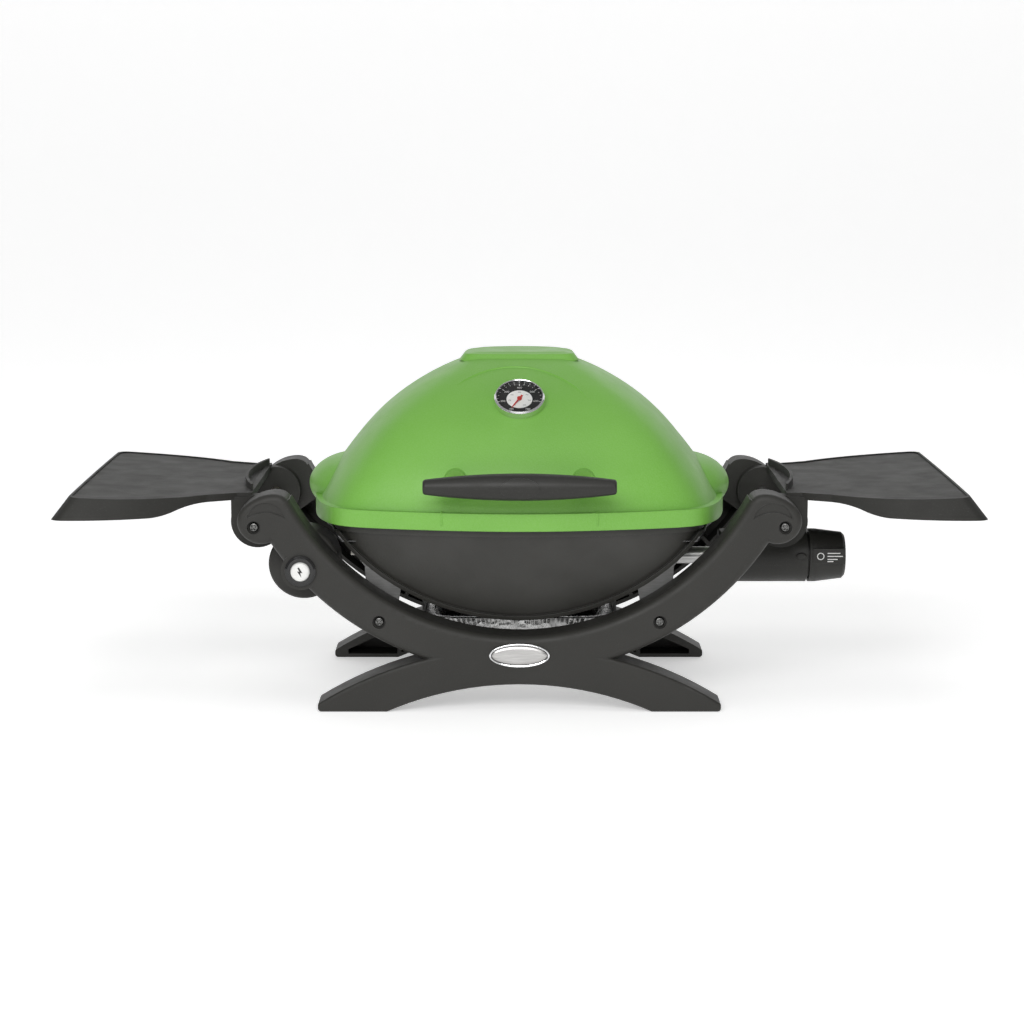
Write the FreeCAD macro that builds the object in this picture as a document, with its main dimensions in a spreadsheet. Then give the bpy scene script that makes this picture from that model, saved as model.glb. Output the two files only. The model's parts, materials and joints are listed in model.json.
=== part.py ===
import FreeCAD, Part
import math
import os
import re
import Sketcher
from FreeCAD import Placement, Rotation, Vector

# Portable table-top gas grill: a cast cookbox with a hinged lid, carried by two
# moulded cradle frames, with a folding table on each side. Millimetres.
# +X is the cook's right, +Y the back, +Z up. The origin is on the ground, under
# the centre of the whole grill's box. Left and right mean -X and +X.

LEFT, RIGHT = -1, 1
FRONT, REAR = -1, 1
X_AXIS, Y_AXIS, Z_AXIS = Vector(1, 0, 0), Vector(0, 1, 0), Vector(0, 0, 1)

# alias, value, meaning
DIMENSIONS = [
    ("frame_face", 160, "centre to the outer face of each cradle frame"),
    ("frame_depth", 42, "thickness of a cradle frame, front to back"),
    ("frame_skin", 5, "thickness of a frame's outer face"),
    ("frame_wall", 4.5, "thickness of a frame's edge walls"),
    ("frame_round", 9, "rounding of the frame's outer edge"),
    ("cradle_z", 378, "height of the centre of the cradle's arcs"),
    ("cradle_inner", 291, "inner radius of the cradle arm"),
    ("cradle_outer", 335, "outer radius of the cradle arm"),
    ("knuckle_x", 290.5, "centre of the knuckle at the top of an arm"),
    ("knuckle_z", 218.5, "height of the knuckle's centre"),
    ("arm_reach", 62.4, "degrees each cradle arm rises from the middle"),
    ("arch_height", 31.6, "crown of the arch between the feet"),
    ("arch_half", 150, "half span of the arch between the feet"),
    ("toe_x", 228.5, "centre to the outer end of a foot"),
    ("toe_z", 9, "height of a foot's outer end"),
    ("toe_round", 4, "rounding of a foot's outer end"),
    ("leg_round", 3.5, "rounding of the outer edge of legs and arch"),
    ("pivot_x", 297.5, "centre to a table's pivot"),
    ("pivot_z", 212, "height of a table's pivot"),
    ("pivot_radius", 6, "radius of a table's pivot rod"),
    ("tie_x", 158, "centre to a lower tie tube"),
    ("tie_z", 104, "height of a lower tie tube"),
    ("tie_radius", 9, "radius of a lower tie tube"),
    ("screw_head", 5.6, "radius of a frame screw's head"),
    ("screw_recess", 7.5, "radius of a frame screw's recess"),
    ("screw_sunk", 5, "depth of a frame screw's recess"),
    ("badge_half_x", 34.5, "half length of the oval badge"),
    ("badge_half_z", 14, "half height of the oval badge"),
    ("badge_z", 66, "height of the badge's centre"),
    ("badge_thick", 2.5, "thickness of the badge"),
    ("rim_low", 213.4, "underside of the lid's rim"),
    ("rim_high", 233, "top of the lid's rim band"),
    ("rim_half_x", 238, "half width of the lid's rim"),
    ("rim_half_y", 194, "half depth of the lid's rim"),
    ("lid_top", 394, "top of the closed lid"),
    ("lid_wall", 4, "thickness of the cast lid"),
    ("ear_x", 190, "centre of the bulge on each side of the lid"),
    ("ear_z", 240, "height of that bulge"),
    ("hinge_y", 213, "depth of the lid's hinge axis"),
    ("hinge_z", 222, "height of the lid's hinge axis"),
    ("hinge_x", 80, "centre to each lid hinge"),
    ("hinge_lug", 19.9, "radius of a lid hinge lug"),
    ("hinge_pin", 4, "radius of a lid hinge pin"),
    ("handle_y", 217, "centre to the handle's axis, forwards"),
    ("handle_z", 267, "height of the handle's axis"),
    ("handle_half", 106, "half length of the handle"),
    ("handle_radius", 15, "radius of the handle's middle"),
    ("handle_end", 8.5, "radius of the handle's ends"),
    ("post_x", 71, "centre to a handle post"),
    ("post_radius", 7, "radius of a handle post"),
    ("gauge_y", 105, "centre to the thermometer, forwards"),
    ("gauge_z", 347, "height of the thermometer on the lid"),
    ("gauge_radius", 29, "radius of the thermometer's bezel"),
    ("gauge_tilt", 54, "degrees the thermometer faces above level"),
    ("bowl_top", 213.1, "top of the cookbox"),
    ("bowl_low", 104, "underside of the cookbox at its middle"),
    ("bowl_radius", 256.6, "outer radius of the trough's curved wall"),
    ("bowl_wall", 4, "thickness of the cast cookbox"),
    ("grate_top", 204, "top of the cooking grates"),
    ("grate_thick", 8, "thickness of the cooking grates"),
    ("burner_radius", 10, "outer radius of the burner tube"),
    ("burner_wall", 1.2, "wall of the burner tube"),
    ("gas_z", 151.6, "height of the burner, valve and knob"),
    ("housing_start", 236, "inner end of the valve housing"),
    ("housing_end", 339, "outer end of the valve housing"),
    ("housing_radius", 31.5, "outer radius of the valve housing"),
    ("knob_start", 342, "inner end of the control knob"),
    ("knob_end", 384.5, "outer end of the control knob"),
    ("knob_tip", 27.5, "radius of the knob's outer end"),
    ("stem_radius", 4, "radius of the valve stem"),
    ("inlet_radius", 12.7, "radius of the gas cylinder's threaded socket"),
    ("inlet_x", 290, "centre to the gas inlet"),
    ("igniter_x", 245.6, "centre to the igniter, to the left"),
    ("igniter_z", 162.8, "height of the igniter"),
    ("igniter_radius", 40, "radius of the igniter's housing"),
    ("button_radius", 10.7, "radius of the igniter's button"),
    ("bezel_radius", 16.3, "outer radius of the igniter's bezel"),
    ("table_z", 243.7, "height of a table's top at its inner end"),
    ("table_inner", 303, "centre to a table's inner end"),
    ("table_outer", 501, "centre to a table top's outer edge"),
    ("table_flare", 20, "how far a table's outer skirt leans out"),
    ("table_wall", 3.5, "thickness of a moulded table"),
    ("table_rim", 1.4, "height of the raised edge round a table"),
    ("lip_x", 321, "centre to the middle of a table's curved stop"),
    ("lip_radius", 340, "radius of a table's curved stop, in plan"),
    ("lip_high", 9, "height of a table's curved stop"),
    ("disc_radius", 30, "radius of a table's hinge disc"),
    ("disc_far", 117.5, "outer face of a table's hinge disc, from the centre"),
    ("disc_near", 100, "inner face of a table's hinge disc, from the centre"),
    ("pan_half_x", 100, "half width of the foil catch pan's mouth"),
    ("pan_rim_z", 92.5, "top of the catch pan's rim"),
    ("pan_deep", 21, "depth of the catch pan"),
]
ALIASES = {alias for alias, _, _ in DIMENSIONS}

doc = FreeCAD.newDocument("TabletopGasGrill")


def make_sheet():
    """The spreadsheet that holds the driving dimensions."""
    params = doc.addObject("Spreadsheet::Sheet", "Params")
    for row, (alias, value, meaning) in enumerate(DIMENSIONS, start=1):
        params.set(f"A{row}", meaning)
        params.set(f"B{row}", str(value))
        params.setAlias(f"B{row}", alias)
    doc.recompute()
    return params


sheet = make_sheet()


def value(expression):
    """The number that an expression of aliases gives."""
    names = {alias: float(sheet.get(alias)) for alias in ALIASES if alias in str(expression)}
    total = re.sub(r"[a-z_]+", lambda found: str(names[found.group(0)]), str(expression))
    return FreeCAD.Units.Quantity(total).Value


def bind(item, field, expression):
    """Bind a property to the spreadsheet; expression is written in aliases."""
    if not re.search(r"[a-z]", str(expression)):
        setattr(item, field, float(FreeCAD.Units.Quantity(str(expression)).Value))
        return
    linked = re.sub(r"[a-z_]+", lambda found: "Params." + found.group(0), str(expression))
    item.setExpression(field, linked)


# ---------------------------------------------------------------- primitives

def add(kind, name):
    item = doc.addObject(kind, name)
    return item


def cylinder(name, radius, length, base, axis=Y_AXIS):
    item = add("Part::Cylinder", name)
    bind(item, "Radius", radius)
    bind(item, "Height", length)
    item.Placement = Placement(base, Rotation(Z_AXIS, axis))
    return item


def block(name, low, high):
    """A box between two corners."""
    item = add("Part::Box", name)
    item.Length, item.Width, item.Height = high[0] - low[0], high[1] - low[1], high[2] - low[2]
    item.Placement.Base = Vector(*low)
    return item


def shaped(name, shape):
    """A feature whose shape comes from Part's own functions."""
    item = add("Part::Feature", name)
    item.Shape = shape
    return item


def fuse(name, *pieces):
    item = add("Part::MultiFuse", name)
    item.Shapes = list(pieces)
    item.Refine = True
    return item


def common(name, *pieces):
    item = add("Part::MultiCommon", name)
    item.Shapes = list(pieces)
    return item


def cut(name, base, *tools):
    item = add("Part::Cut", name)
    item.Base = base
    item.Tool = tools[0] if len(tools) == 1 else fuse(name + "_tools", *tools)
    return item


def group(name, *pieces):
    """Separate solids kept in one node, such as a set of equal screws."""
    item = add("Part::Compound", name)
    item.Links = list(pieces)
    return item


# ------------------------------------------------------- sketches and bodies

def sketch_on(body, name, plane, offset=0.0):
    sketch = body.newObject("Sketcher::SketchObject", name)
    support = next(item for item in body.Origin.OriginFeatures if item.Role == plane)
    sketch.AttachmentSupport = (support, [""])
    sketch.MapMode = "FlatFace"
    sketch.AttachmentOffset = Placement(Vector(0, 0, offset), Rotation())
    return sketch


def draw(sketch, start, steps):
    """Draw an outline of lines, each step an end, and arcs, each step (through, end)."""
    here = Vector(*start, 0)
    for step in steps:
        if isinstance(step[0], (tuple, list)):
            through, end = Vector(*step[0], 0), Vector(*step[1], 0)
            sketch.addGeometry(Part.Arc(here, through, end))
        else:
            end = Vector(*step, 0)
            sketch.addGeometry(Part.LineSegment(here, end))
        here = end


def draw_polygon(sketch, corners):
    """A closed polygon, each corner a pair of expressions that bind its place."""
    ends = [Vector(value(x), value(y), 0) for x, y in corners]
    for index, end in enumerate(ends):
        sketch.addGeometry(Part.LineSegment(end, ends[(index + 1) % len(ends)]))
    for index in range(len(ends)):
        following = (index + 1) % len(ends)
        sketch.addConstraint(Sketcher.Constraint("Coincident", index, 2, following, 1))
    for index, corner in enumerate(corners):
        for kind, expression in zip(("DistanceX", "DistanceY"), corner):
            rule = Sketcher.Constraint(kind, -1, 1, index, 1, value(expression))
            place = sketch.addConstraint(rule)
            if re.search(r"[a-z]", str(expression)):
                bind(sketch, f"Constraints[{place}]", expression)


def turned(name, profile, base, axis):
    """A turned piece: corners are (distance along the axis, radius) from base."""
    body = add("PartDesign::Body", name)
    sketch = sketch_on(body, name + "_profile", "XZ_Plane")
    draw_polygon(sketch, profile)
    turn = body.newObject("PartDesign::Revolution", name + "_turn")
    turn.Profile = sketch
    turn.ReferenceAxis = (sketch, ["H_Axis"])
    turn.Angle = 360
    body.Placement = Placement(base, Rotation(X_AXIS, axis))
    return body


def pad(body, sketch, length, backwards=False):
    item = body.newObject("PartDesign::Pad", sketch.Name + "_pad")
    item.Profile = sketch
    bind(item, "Length", length)
    item.Reversed = backwards
    return item


# ------------------------------------------------------------- cradle frames

def facing(shape, side):
    """Turn a shape made for the front frame into the rear frame's, if side says so."""
    return shape if side == FRONT else shape.mirror(Vector(0, 0, 0), Y_AXIS)


def upright(edges):
    """A face at the front frame's inner plane, from edges drawn as (x, z)."""
    wire = Part.Wire(edges)
    wire.translate(Vector(0, -(value("frame_face") - value("frame_depth")), 0))
    return Part.Face(wire)


def line(start, end):
    return Part.LineSegment(Vector(start[0], 0, start[1]), Vector(end[0], 0, end[1])).toShape()


def arc(start, through, end):
    spots = [Vector(x, 0, z) for x, z in (start, through, end)]
    return Part.Arc(*spots).toShape()


def rounded_front(solid, radius):
    """Round the edges of the front frame's outer face."""
    outer = -value("frame_face")
    edges = [edge for edge in solid.Edges if abs(edge.BoundBox.YMax - outer) < 0.01]
    return solid.makeFillet(radius, edges)


def arm_solid():
    """The cradle's arc: a rounded bar turned about the cradle's centre."""
    face, back = -value("frame_face"), -value("frame_face") + value("frame_depth")
    low = value("cradle_z") - value("cradle_outer")
    high = value("cradle_z") - value("cradle_inner")
    bend = value("frame_round")
    slant = bend * (1 - math.sqrt(0.5))
    edges = [
        Part.LineSegment(Vector(0, back, low), Vector(0, face + bend, low)),
        Part.Arc(Vector(0, face + bend, low), Vector(0, face + slant, low + slant),
                 Vector(0, face, low + bend)),
        Part.LineSegment(Vector(0, face, low + bend), Vector(0, face, high - bend)),
        Part.Arc(Vector(0, face, high - bend), Vector(0, face + slant, high - slant),
                 Vector(0, face + bend, high)),
        Part.LineSegment(Vector(0, face + bend, high), Vector(0, back, high)),
        Part.LineSegment(Vector(0, back, high), Vector(0, back, low)),
    ]
    section = Part.Face(Part.Wire([edge.toShape() for edge in edges]))
    reach = value("arm_reach")
    centre = Vector(0, 0, value("cradle_z"))
    section.rotate(centre, Y_AXIS, reach)
    return section.revolve(centre, Y_AXIS, -2 * reach)


def leg_solid():
    """Both legs and the arch between them, in one piece below the arc."""
    half, rise, toe = value("arch_half"), value("arch_height"), value("toe_x")
    root = (60, 70)
    right = [
        line((half, 0), (toe, 0)),
        line((toe, 0), (toe, value("toe_z"))),
        arc((toe, value("toe_z")), (150, 47.5), root),
    ]
    edges = [arc((-half, 0), (0, rise), (half, 0))] + right + [line(root, (-root[0], root[1]))]
    edges += [edge.mirror(Vector(0, 0, 0), X_AXIS) for edge in reversed(right)]
    blank = upright(Part.__sortEdges__(edges)).extrude(Vector(0, -value("frame_depth"), 0))
    toes = [edge for edge in blank.Edges if abs(edge.BoundBox.XMin - edge.BoundBox.XMax) < 0.01
            and abs(edge.BoundBox.ZMin - edge.BoundBox.ZMax) < 0.01
            and abs(abs(edge.BoundBox.XMin) - toe) < 0.01]
    return rounded_front(blank.makeFillet(value("toe_round"), toes), value("leg_round"))


def knuckle_solid(side):
    """The rounded top of an arm, where a table pivots."""
    offsets = [(-33, 19.5), (-25, 29), (-11, 30.5), (10, 23), (23.5, 9.5),
               (26, -2.5), (18.5, -18), (1.5, -26), (-14.5, -22.5), (-28.5, -6.5)]
    centre_x, centre_z = value("knuckle_x"), value("knuckle_z")
    curve = Part.BSplineCurve()
    points = [Vector(side * (centre_x + x), 0, centre_z + z) for x, z in offsets]
    curve.interpolate(Points=points, PeriodicFlag=True)
    blank = upright([curve.toShape()]).extrude(Vector(0, -value("frame_depth"), 0))
    return rounded_front(blank, 7)


def frame_cells():
    """The hollows of a frame's inner side: cells between ribs, along arm and legs."""
    inner = value("cradle_inner") + value("frame_wall")
    outer = value("cradle_outer") - value("frame_wall")
    centre = value("cradle_z")
    cells, span, rib = 11, math.radians(110), math.radians(0.8)

    def spot(radius, angle):
        return (radius * math.sin(angle), centre - radius * math.cos(angle))

    outlines = []
    for index in range(cells):
        first = -span / 2 + index * span / cells + rib / 2
        last = first + span / cells - rib
        middle = (first + last) / 2
        outlines.append([
            arc(spot(inner, first), spot(inner, middle), spot(inner, last)),
            line(spot(inner, last), spot(outer, last)),
            arc(spot(outer, last), spot(outer, middle), spot(outer, first)),
            line(spot(outer, first), spot(inner, first)),
        ])
    leg_cells = [
        [(62, 31), (108, 20), (108, 54), (62, 43)],
        [(114, 18), (146, 6), (146, 41), (114, 51)],
        [(151, 4.5), (212, 4.5), (212, 10), (151, 38)],
    ]
    for side in (LEFT, RIGHT):
        for corners in leg_cells:
            placed = [(side * x, z) for x, z in corners]
            outlines.append([line(a, b) for a, b in zip(placed, placed[1:] + placed[:1])])
    deep = value("frame_depth") - value("frame_skin")
    return Part.Compound([upright(edges).extrude(Vector(0, -deep, 0)) for edges in outlines])


def crescents():
    """Shallow crescent recesses in the knuckles' outer faces."""
    cuts = []
    for side in (LEFT, RIGHT):
        tip, root = (side * 305, 222), (side * 262, 222)
        face = upright([arc(tip, (side * 283.5, 240), root), arc(root, (side * 283.5, 229), tip)])
        face.translate(Vector(0, -value("frame_depth") - 1, 0))
        cuts.append(face.extrude(Vector(0, 2.5, 0)))
    return Part.Compound(cuts)


def screw_spots():
    """Places of the four screws on a frame's outer face."""
    high = [(side * value("pivot_x"), value("pivot_z")) for side in (LEFT, RIGHT)]
    low = [(side * value("tie_x"), value("tie_z")) for side in (LEFT, RIGHT)]
    return high + low


def make_frame(name, side):
    """One moulded cradle frame; side is FRONT or REAR."""
    face = value("frame_face")
    back = face - value("frame_depth")
    outwards = Vector(0, side, 0)
    parts = [("arm", arm_solid()), ("legs", leg_solid()),
             ("knuckle_left", knuckle_solid(LEFT)), ("knuckle_right", knuckle_solid(RIGHT))]
    pieces = [shaped(f"{name}_{word}", facing(shape, side)) for word, shape in parts]
    igniter = Vector(-value("igniter_x"), side * back, value("igniter_z"))
    if side == FRONT:
        pieces.append(cylinder(name + "_igniter_ring", "bezel_radius + 5.5", "frame_depth",
                               igniter, outwards))
    blank = fuse(name + "_blank", *pieces)
    hollow = cut(name + "_hollow", blank, shaped(name + "_cells", facing(frame_cells(), side)))

    bosses = []
    for index, (x, z) in enumerate(screw_spots()[2:]):
        bosses.append(cylinder(f"{name}_boss_{index}", "tie_radius + 3", "frame_depth - frame_skin / 2",
                               Vector(x, side * back, z), outwards))
    if side == FRONT:
        bosses.append(cylinder(name + "_igniter_boss", "bezel_radius + 3.5", "frame_depth - frame_skin / 2",
                               igniter, outwards))
    whole = fuse(name + "_whole", hollow, *bosses)

    tools = [shaped(name + "_crescents", facing(crescents(), side))]
    for index, (x, z) in enumerate(screw_spots()):
        seat = Vector(x, side * (face - value("screw_sunk")), z)
        tools.append(cylinder(f"{name}_recess_{index}", "screw_recess", "screw_sunk + 1", seat, outwards))
    for index, (x, z) in enumerate(screw_spots()[:2]):
        tools.append(cylinder(f"{name}_rod_hole_{index}", "pivot_radius + 0.05", "20",
                              Vector(x, side * back, z), outwards))
    if side == FRONT:
        tools.append(cylinder(name + "_igniter_hole", "bezel_radius", "frame_depth + 2",
                              igniter + Y_AXIS, outwards))
    return cut(name, whole, *tools)


def make_frame_screws():
    """Cross-recess screws: heads sunk in the frames' outer faces, four to a frame."""
    screws = []
    for side in (FRONT, REAR):
        for index, (x, z) in enumerate(screw_spots()):
            seat = side * (value("frame_face") - value("screw_sunk"))
            word = "front" if side == FRONT else "rear"
            head = [("0", "0"), ("0", "screw_head"), ("1.8", "screw_head"),
                    ("3.6", "screw_head / 2"), ("3.6", "0")]
            screws.append(turned(f"screw_{word}_{index}", head, Vector(x, seat, z), Vector(0, side, 0)))
    return group("frame_screws", *screws)


def make_badge():
    """A plain oval plate on the front frame's face."""
    body = add("PartDesign::Body", "front_badge")
    oval = sketch_on(body, "badge_oval", "XZ_Plane", value("frame_face"))
    centre = Vector(0, value("badge_z"), 0)
    across = centre + Vector(value("badge_half_x"), 0, 0)
    up = centre + Vector(0, value("badge_half_z"), 0)
    oval.addGeometry(Part.Ellipse(across, up, centre))
    pad(body, oval, "badge_thick")
    return body


def make_pivot_rod(name, side):
    reach = value("frame_face") - value("frame_depth") + 20
    base = Vector(side * value("pivot_x"), -reach, value("pivot_z"))
    return cylinder(name, "pivot_radius", "2 * (frame_face - frame_depth + 20)", base)


def make_support(name, side):
    """A lower tie tube with a plate at each end that carries the cookbox."""
    half = value("frame_face") - value("frame_depth")
    tube = cylinder(name + "_tube", "tie_radius", "2 * (frame_face - frame_depth)",
                    Vector(side * value("tie_x"), -half, value("tie_z")))
    outline = [(202, 204.8), (202, 194), (176, 160), (174, 112), (168, 96),
               (148, 96), (139, 112), (134, 140), (160, 204.8)]
    plates = []
    for place in (FRONT, REAR):
        start = place * (half - 4) - 3
        corners = [Vector(side * x, start, z) for x, z in outline]
        face = Part.Face(Part.makePolygon(corners + corners[:1]))
        word = "front" if place == FRONT else "rear"
        plates.append(shaped(f"{name}_plate_{word}", face.extrude(Vector(0, 6, 0))))
    bowl_space = cylinder(name + "_bowl_space", "bowl_radius + 4.1", "400",
                          Vector(0, -200, value("bowl_low") + value("bowl_radius")))
    tools = [bowl_space]
    if side == LEFT:
        tools.append(cylinder(name + "_igniter_space", "igniter_radius + 0.6", "80",
                              Vector(-value("igniter_x"), -130, value("igniter_z"))))
    return cut(name, fuse(name + "_whole", tube, *plates), *tools)


# ------------------------------------------------------------ lid and cookbox

# One quadrant of the cast outline, as shares of its half width and half depth:
# a gently bowed side, a rounded corner and a front that bows outwards.
QUADRANT = [(1.0, 0.0), (0.985, 0.34), (0.93, 0.63), (0.85, 0.785), (0.68, 0.88), (0.38, 0.957), (0.0, 1.0)]


def cast_ring(half_x, front, rear, z):
    """The closed, smooth outline of the lid and cookbox at one height."""
    right_rear = [(half_x * x, rear * y) for x, y in QUADRANT]
    left_rear = [(-half_x * x, rear * y) for x, y in reversed(QUADRANT[:-1])]
    left_front = [(-half_x * x, -front * y) for x, y in QUADRANT[1:]]
    right_front = [(half_x * x, -front * y) for x, y in reversed(QUADRANT[1:-1])]
    points = [Vector(x, y, z) for x, y in right_rear + left_rear + left_front + right_front]
    curve = Part.BSplineCurve()
    curve.interpolate(Points=points, PeriodicFlag=True)
    return Part.Wire([curve.toShape()])


def cast_slab(half_x, half_y, low, high):
    """A flat slab with the cast outline."""
    face = Part.Face(cast_ring(half_x, half_y, half_y, low))
    return face.extrude(Vector(0, 0, high - low))


# Dome sections: height, half width, reach forwards, reach backwards. The crown lies
# behind the middle, so the front slopes more than the back.
DOME = [
    (233, 231, 187, 187),
    (253, 220, 182.5, 184.5),
    (273, 207, 174.5, 179.5),
    (294, 191, 162, 171.5),
    (316, 172, 144, 160),
    (338, 148, 118, 144),
    (357, 121, 88, 125),
    (371, 96, 60, 106),
    (382, 71, 34, 86),
    (389, 50, 13, 69),
]


def dome_solid(inset):
    """The lid's dome as a solid, set in by a wall's thickness all round."""
    rings = []
    for z, half_x, front, rear in DOME:
        rings.append(cast_ring(half_x - inset, front - inset, rear - inset, z - inset))
    return Part.makeLoft(rings, True, False)


def crown_plate():
    """The low raised panel on top of the dome."""
    low, high = 384, value("lid_top")
    return Part.makeLoft([cast_ring(70, 22, 78, low), cast_ring(64, 16, 73, high - 2),
                          cast_ring(52, 8, 62, high)], True, True)


def ear(name, side, inset):
    """The rounded bulge on the side of the lid, above its rim."""
    item = add("Part::Ellipsoid", name)
    item.Radius1, item.Radius2, item.Radius3 = 36 - inset, 57 - inset, 75 - inset
    item.Placement.Base = Vector(side * value("ear_x"), 0, value("ear_z"))
    return item


def gauge_axis():
    tilt = math.radians(value("gauge_tilt"))
    return Vector(0, -math.cos(tilt), math.sin(tilt))


def gauge_spot(rise):
    """A point on the thermometer's axis, this far above the lid's skin."""
    return Vector(0, -value("gauge_y"), value("gauge_z")) + gauge_axis() * rise


def hinge_lugs():
    """The lid's two pairs of hinge lugs, around the hinge axis."""
    lugs = []
    for side in (LEFT, RIGHT):
        for shift in (-15.2, 9.2):
            x = side * value("hinge_x") + shift
            word = f"lug_{'left' if side == LEFT else 'right'}_{'a' if shift < 0 else 'b'}"
            axis_spot = Vector(x, value("hinge_y"), value("hinge_z"))
            lugs.append(cylinder(word + "_eye", "hinge_lug", "6", axis_spot, X_AXIS))
            low = (x, 178, value("hinge_z") - 9)
            lugs.append(block(word + "_web", low, (x + 6, value("hinge_y"), 240)))
    return lugs


def make_lid():
    wall = value("lid_wall")
    low, high = value("rim_low"), value("rim_high")
    half_x, half_y = value("rim_half_x"), value("rim_half_y")
    band = shaped("lid_band", cast_slab(half_x, half_y, low, high))
    dome = shaped("lid_dome", dome_solid(0))
    crown = shaped("lid_crown", crown_plate())
    above_rim = block("lid_above_rim", (-300, -300, low), (300, 300, 500))
    ears = [common(f"lid_ear_{word}", ear(f"ear_{word}", side, 0), above_rim)
            for word, side in (("left", LEFT), ("right", RIGHT))]
    bosses = [cylinder(f"lid_boss_{index}", "post_radius + 6", "50",
                       Vector(side * value("post_x"), -187, value("handle_z")))
              for index, side in enumerate((LEFT, RIGHT))]
    outside = fuse("lid_outside", band, dome, crown, *ears, *bosses, *hinge_lugs())

    inside = [
        shaped("lid_mouth", cast_slab(half_x - 5.5, half_y - 5.5, low - 1, high - wall)),
        shaped("lid_throat", cast_slab(231 - wall, 187 - wall, high - wall - 1, high - wall + 0.5)),
        shaped("lid_hollow", dome_solid(wall)),
        ear("ear_hollow_left", LEFT, wall),
        ear("ear_hollow_right", RIGHT, wall),
    ]
    stem_hole = cylinder("lid_stem_hole", "3.2", "40", gauge_spot(-25), gauge_axis())
    pin_hole = cylinder("lid_pin_hole", "hinge_pin + 0.05", "300",
                        Vector(-150, value("hinge_y"), value("hinge_z")), X_AXIS)
    post_holes = [cylinder(f"lid_post_hole_{index}", "post_radius - 3", "60",
                           Vector(side * value("post_x"), -190, value("handle_z")))
                  for index, side in enumerate((LEFT, RIGHT))]
    return cut("lid", outside, *inside, stem_hole, pin_hole, *post_holes)


def bowl_taper(inset, high):
    """The cookbox's tapering walls, before its curved floor is cut."""
    low = 80
    slope = (184 - 118) / (value("bowl_top") - 88)
    rings = []
    for z in (low, high):
        front = 184 - slope * (value("bowl_top") - z) - inset
        rings.append(cast_ring(228 - inset, front, front, z))
    return Part.makeLoft(rings, True, True)


def bowl_roll(radius):
    """The big cylinder, lying front to back, that rounds the cookbox's floor."""
    centre = Vector(0, -220, value("bowl_low") + value("bowl_radius"))
    return Part.makeCylinder(radius, 440, centre, Y_AXIS)


def make_cookbox():
    top, wall, radius = value("bowl_top"), value("bowl_wall"), value("bowl_radius")
    shell = shaped("bowl_shell", bowl_taper(0, top).common(bowl_roll(radius)))
    flange = shaped("bowl_flange", cast_slab(228, 184, top - 8, top))
    lip = bowl_taper(-6, top - 8).common(bowl_roll(radius + 4)).cut(bowl_roll(radius - 1))
    lip = shaped("bowl_lip", lip.cut(Part.makeBox(600, 200, 300, Vector(-300, -100, 0))))
    ledges = []
    for x in (-100, 100):
        for y in (FRONT, REAR):
            start = min(y * 182, y * 150)
            blank = Part.makeBox(60, 32, 7.8, Vector(x - 30, start, 188))
            ledges.append(shaped(f"bowl_ledge_{x}_{y}".replace("-", "m"), blank.common(bowl_taper(1, top))))
    hollow = shaped("bowl_hollow", bowl_taper(wall, top + 1).common(bowl_roll(radius - wall)))
    solid = cut("bowl_body", fuse("bowl_whole", shell, flange, lip), hollow)
    whole = fuse("bowl_with_ledges", solid, *ledges)
    drain = cylinder("bowl_drain", "14", "40", Vector(0, 0, 80), Z_AXIS)
    burner_hole = cylinder("bowl_burner_hole", "burner_radius + 0.3", "145",
                           Vector(108, 0, value("gas_z")), X_AXIS)
    electrode_hole = cylinder("bowl_electrode_hole", "4.3", "60", Vector(-200, -50, 165), X_AXIS)
    return cut("cookbox", whole, drain, burner_hole, electrode_hole)


def make_grate(name, side):
    """One half of the cast-iron cooking surface: a rim with bars front to back."""
    top, low = value("grate_top"), value("grate_top") - value("grate_thick")
    rim = cast_slab(190, 168, low, top).cut(cast_slab(181, 159, low - 1, top + 1))
    spine = Part.makeBox(9, 330, top - low, Vector(0.5 if side == RIGHT else -9.5, -165, low))
    bars = []
    pitch, width, count = 15.6, 7, 11
    for index in range(1, count + 1):
        x = side * (index * pitch + 5) - width / 2
        bars.append(Part.makeBox(width, 330, top - low - 1, Vector(x, -165, low + 1)))
    for y in (-85, 0, 85):
        bars.append(Part.makeBox(190, 7, 5, Vector(0 if side == RIGHT else -190, y - 3.5, low)))
    plate = rim.fuse([spine] + bars).common(cast_slab(190, 168, low, top))
    half = Part.makeBox(250, 400, 40, Vector(0.5 if side == RIGHT else -250.5, -200, low - 5))
    return shaped(name, plate.common(half).removeSplitter())


# ------------------------------------------------------------------ lid's trim

def make_handle():
    """A spindle-shaped bar: two arcs turned about its long axis."""
    body = add("PartDesign::Body", "lid_handle")
    profile = sketch_on(body, "handle_profile", "XZ_Plane")
    half, thick, end = value("handle_half"), value("handle_radius"), value("handle_end")
    draw(profile, (-half, 0), [
        (-half, end - 3),
        ((-half + 1, end - 1), (-half + 3, end)),
        ((0, thick), (half - 3, end)),
        ((half - 1, end - 1), (half, end - 3)),
        (half, 0),
        (-half, 0),
    ])
    turn = body.newObject("PartDesign::Revolution", "handle_turn")
    turn.Profile = profile
    turn.ReferenceAxis = (profile, ["H_Axis"])
    turn.Angle = 360
    body.Placement.Base = Vector(0, -value("handle_y"), value("handle_z"))
    return body


def make_handle_posts():
    """Two round spacers between the handle and the lid."""
    posts = []
    start = -value("handle_y") + 9
    for index, side in enumerate((LEFT, RIGHT)):
        base = Vector(side * value("post_x"), start, value("handle_z"))
        blank = cylinder(f"post_blank_{index}", "post_radius", "21", base)
        blank_cut = cut(f"post_{index}", blank, shaped(f"post_handle_space_{index}", handle_space()))
        posts.append(blank_cut)
    return group("handle_posts", *posts)


def handle_space():
    """The handle's volume, for pieces that end against it."""
    doc.recompute()
    return doc.getObject("lid_handle").Shape.copy()


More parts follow.
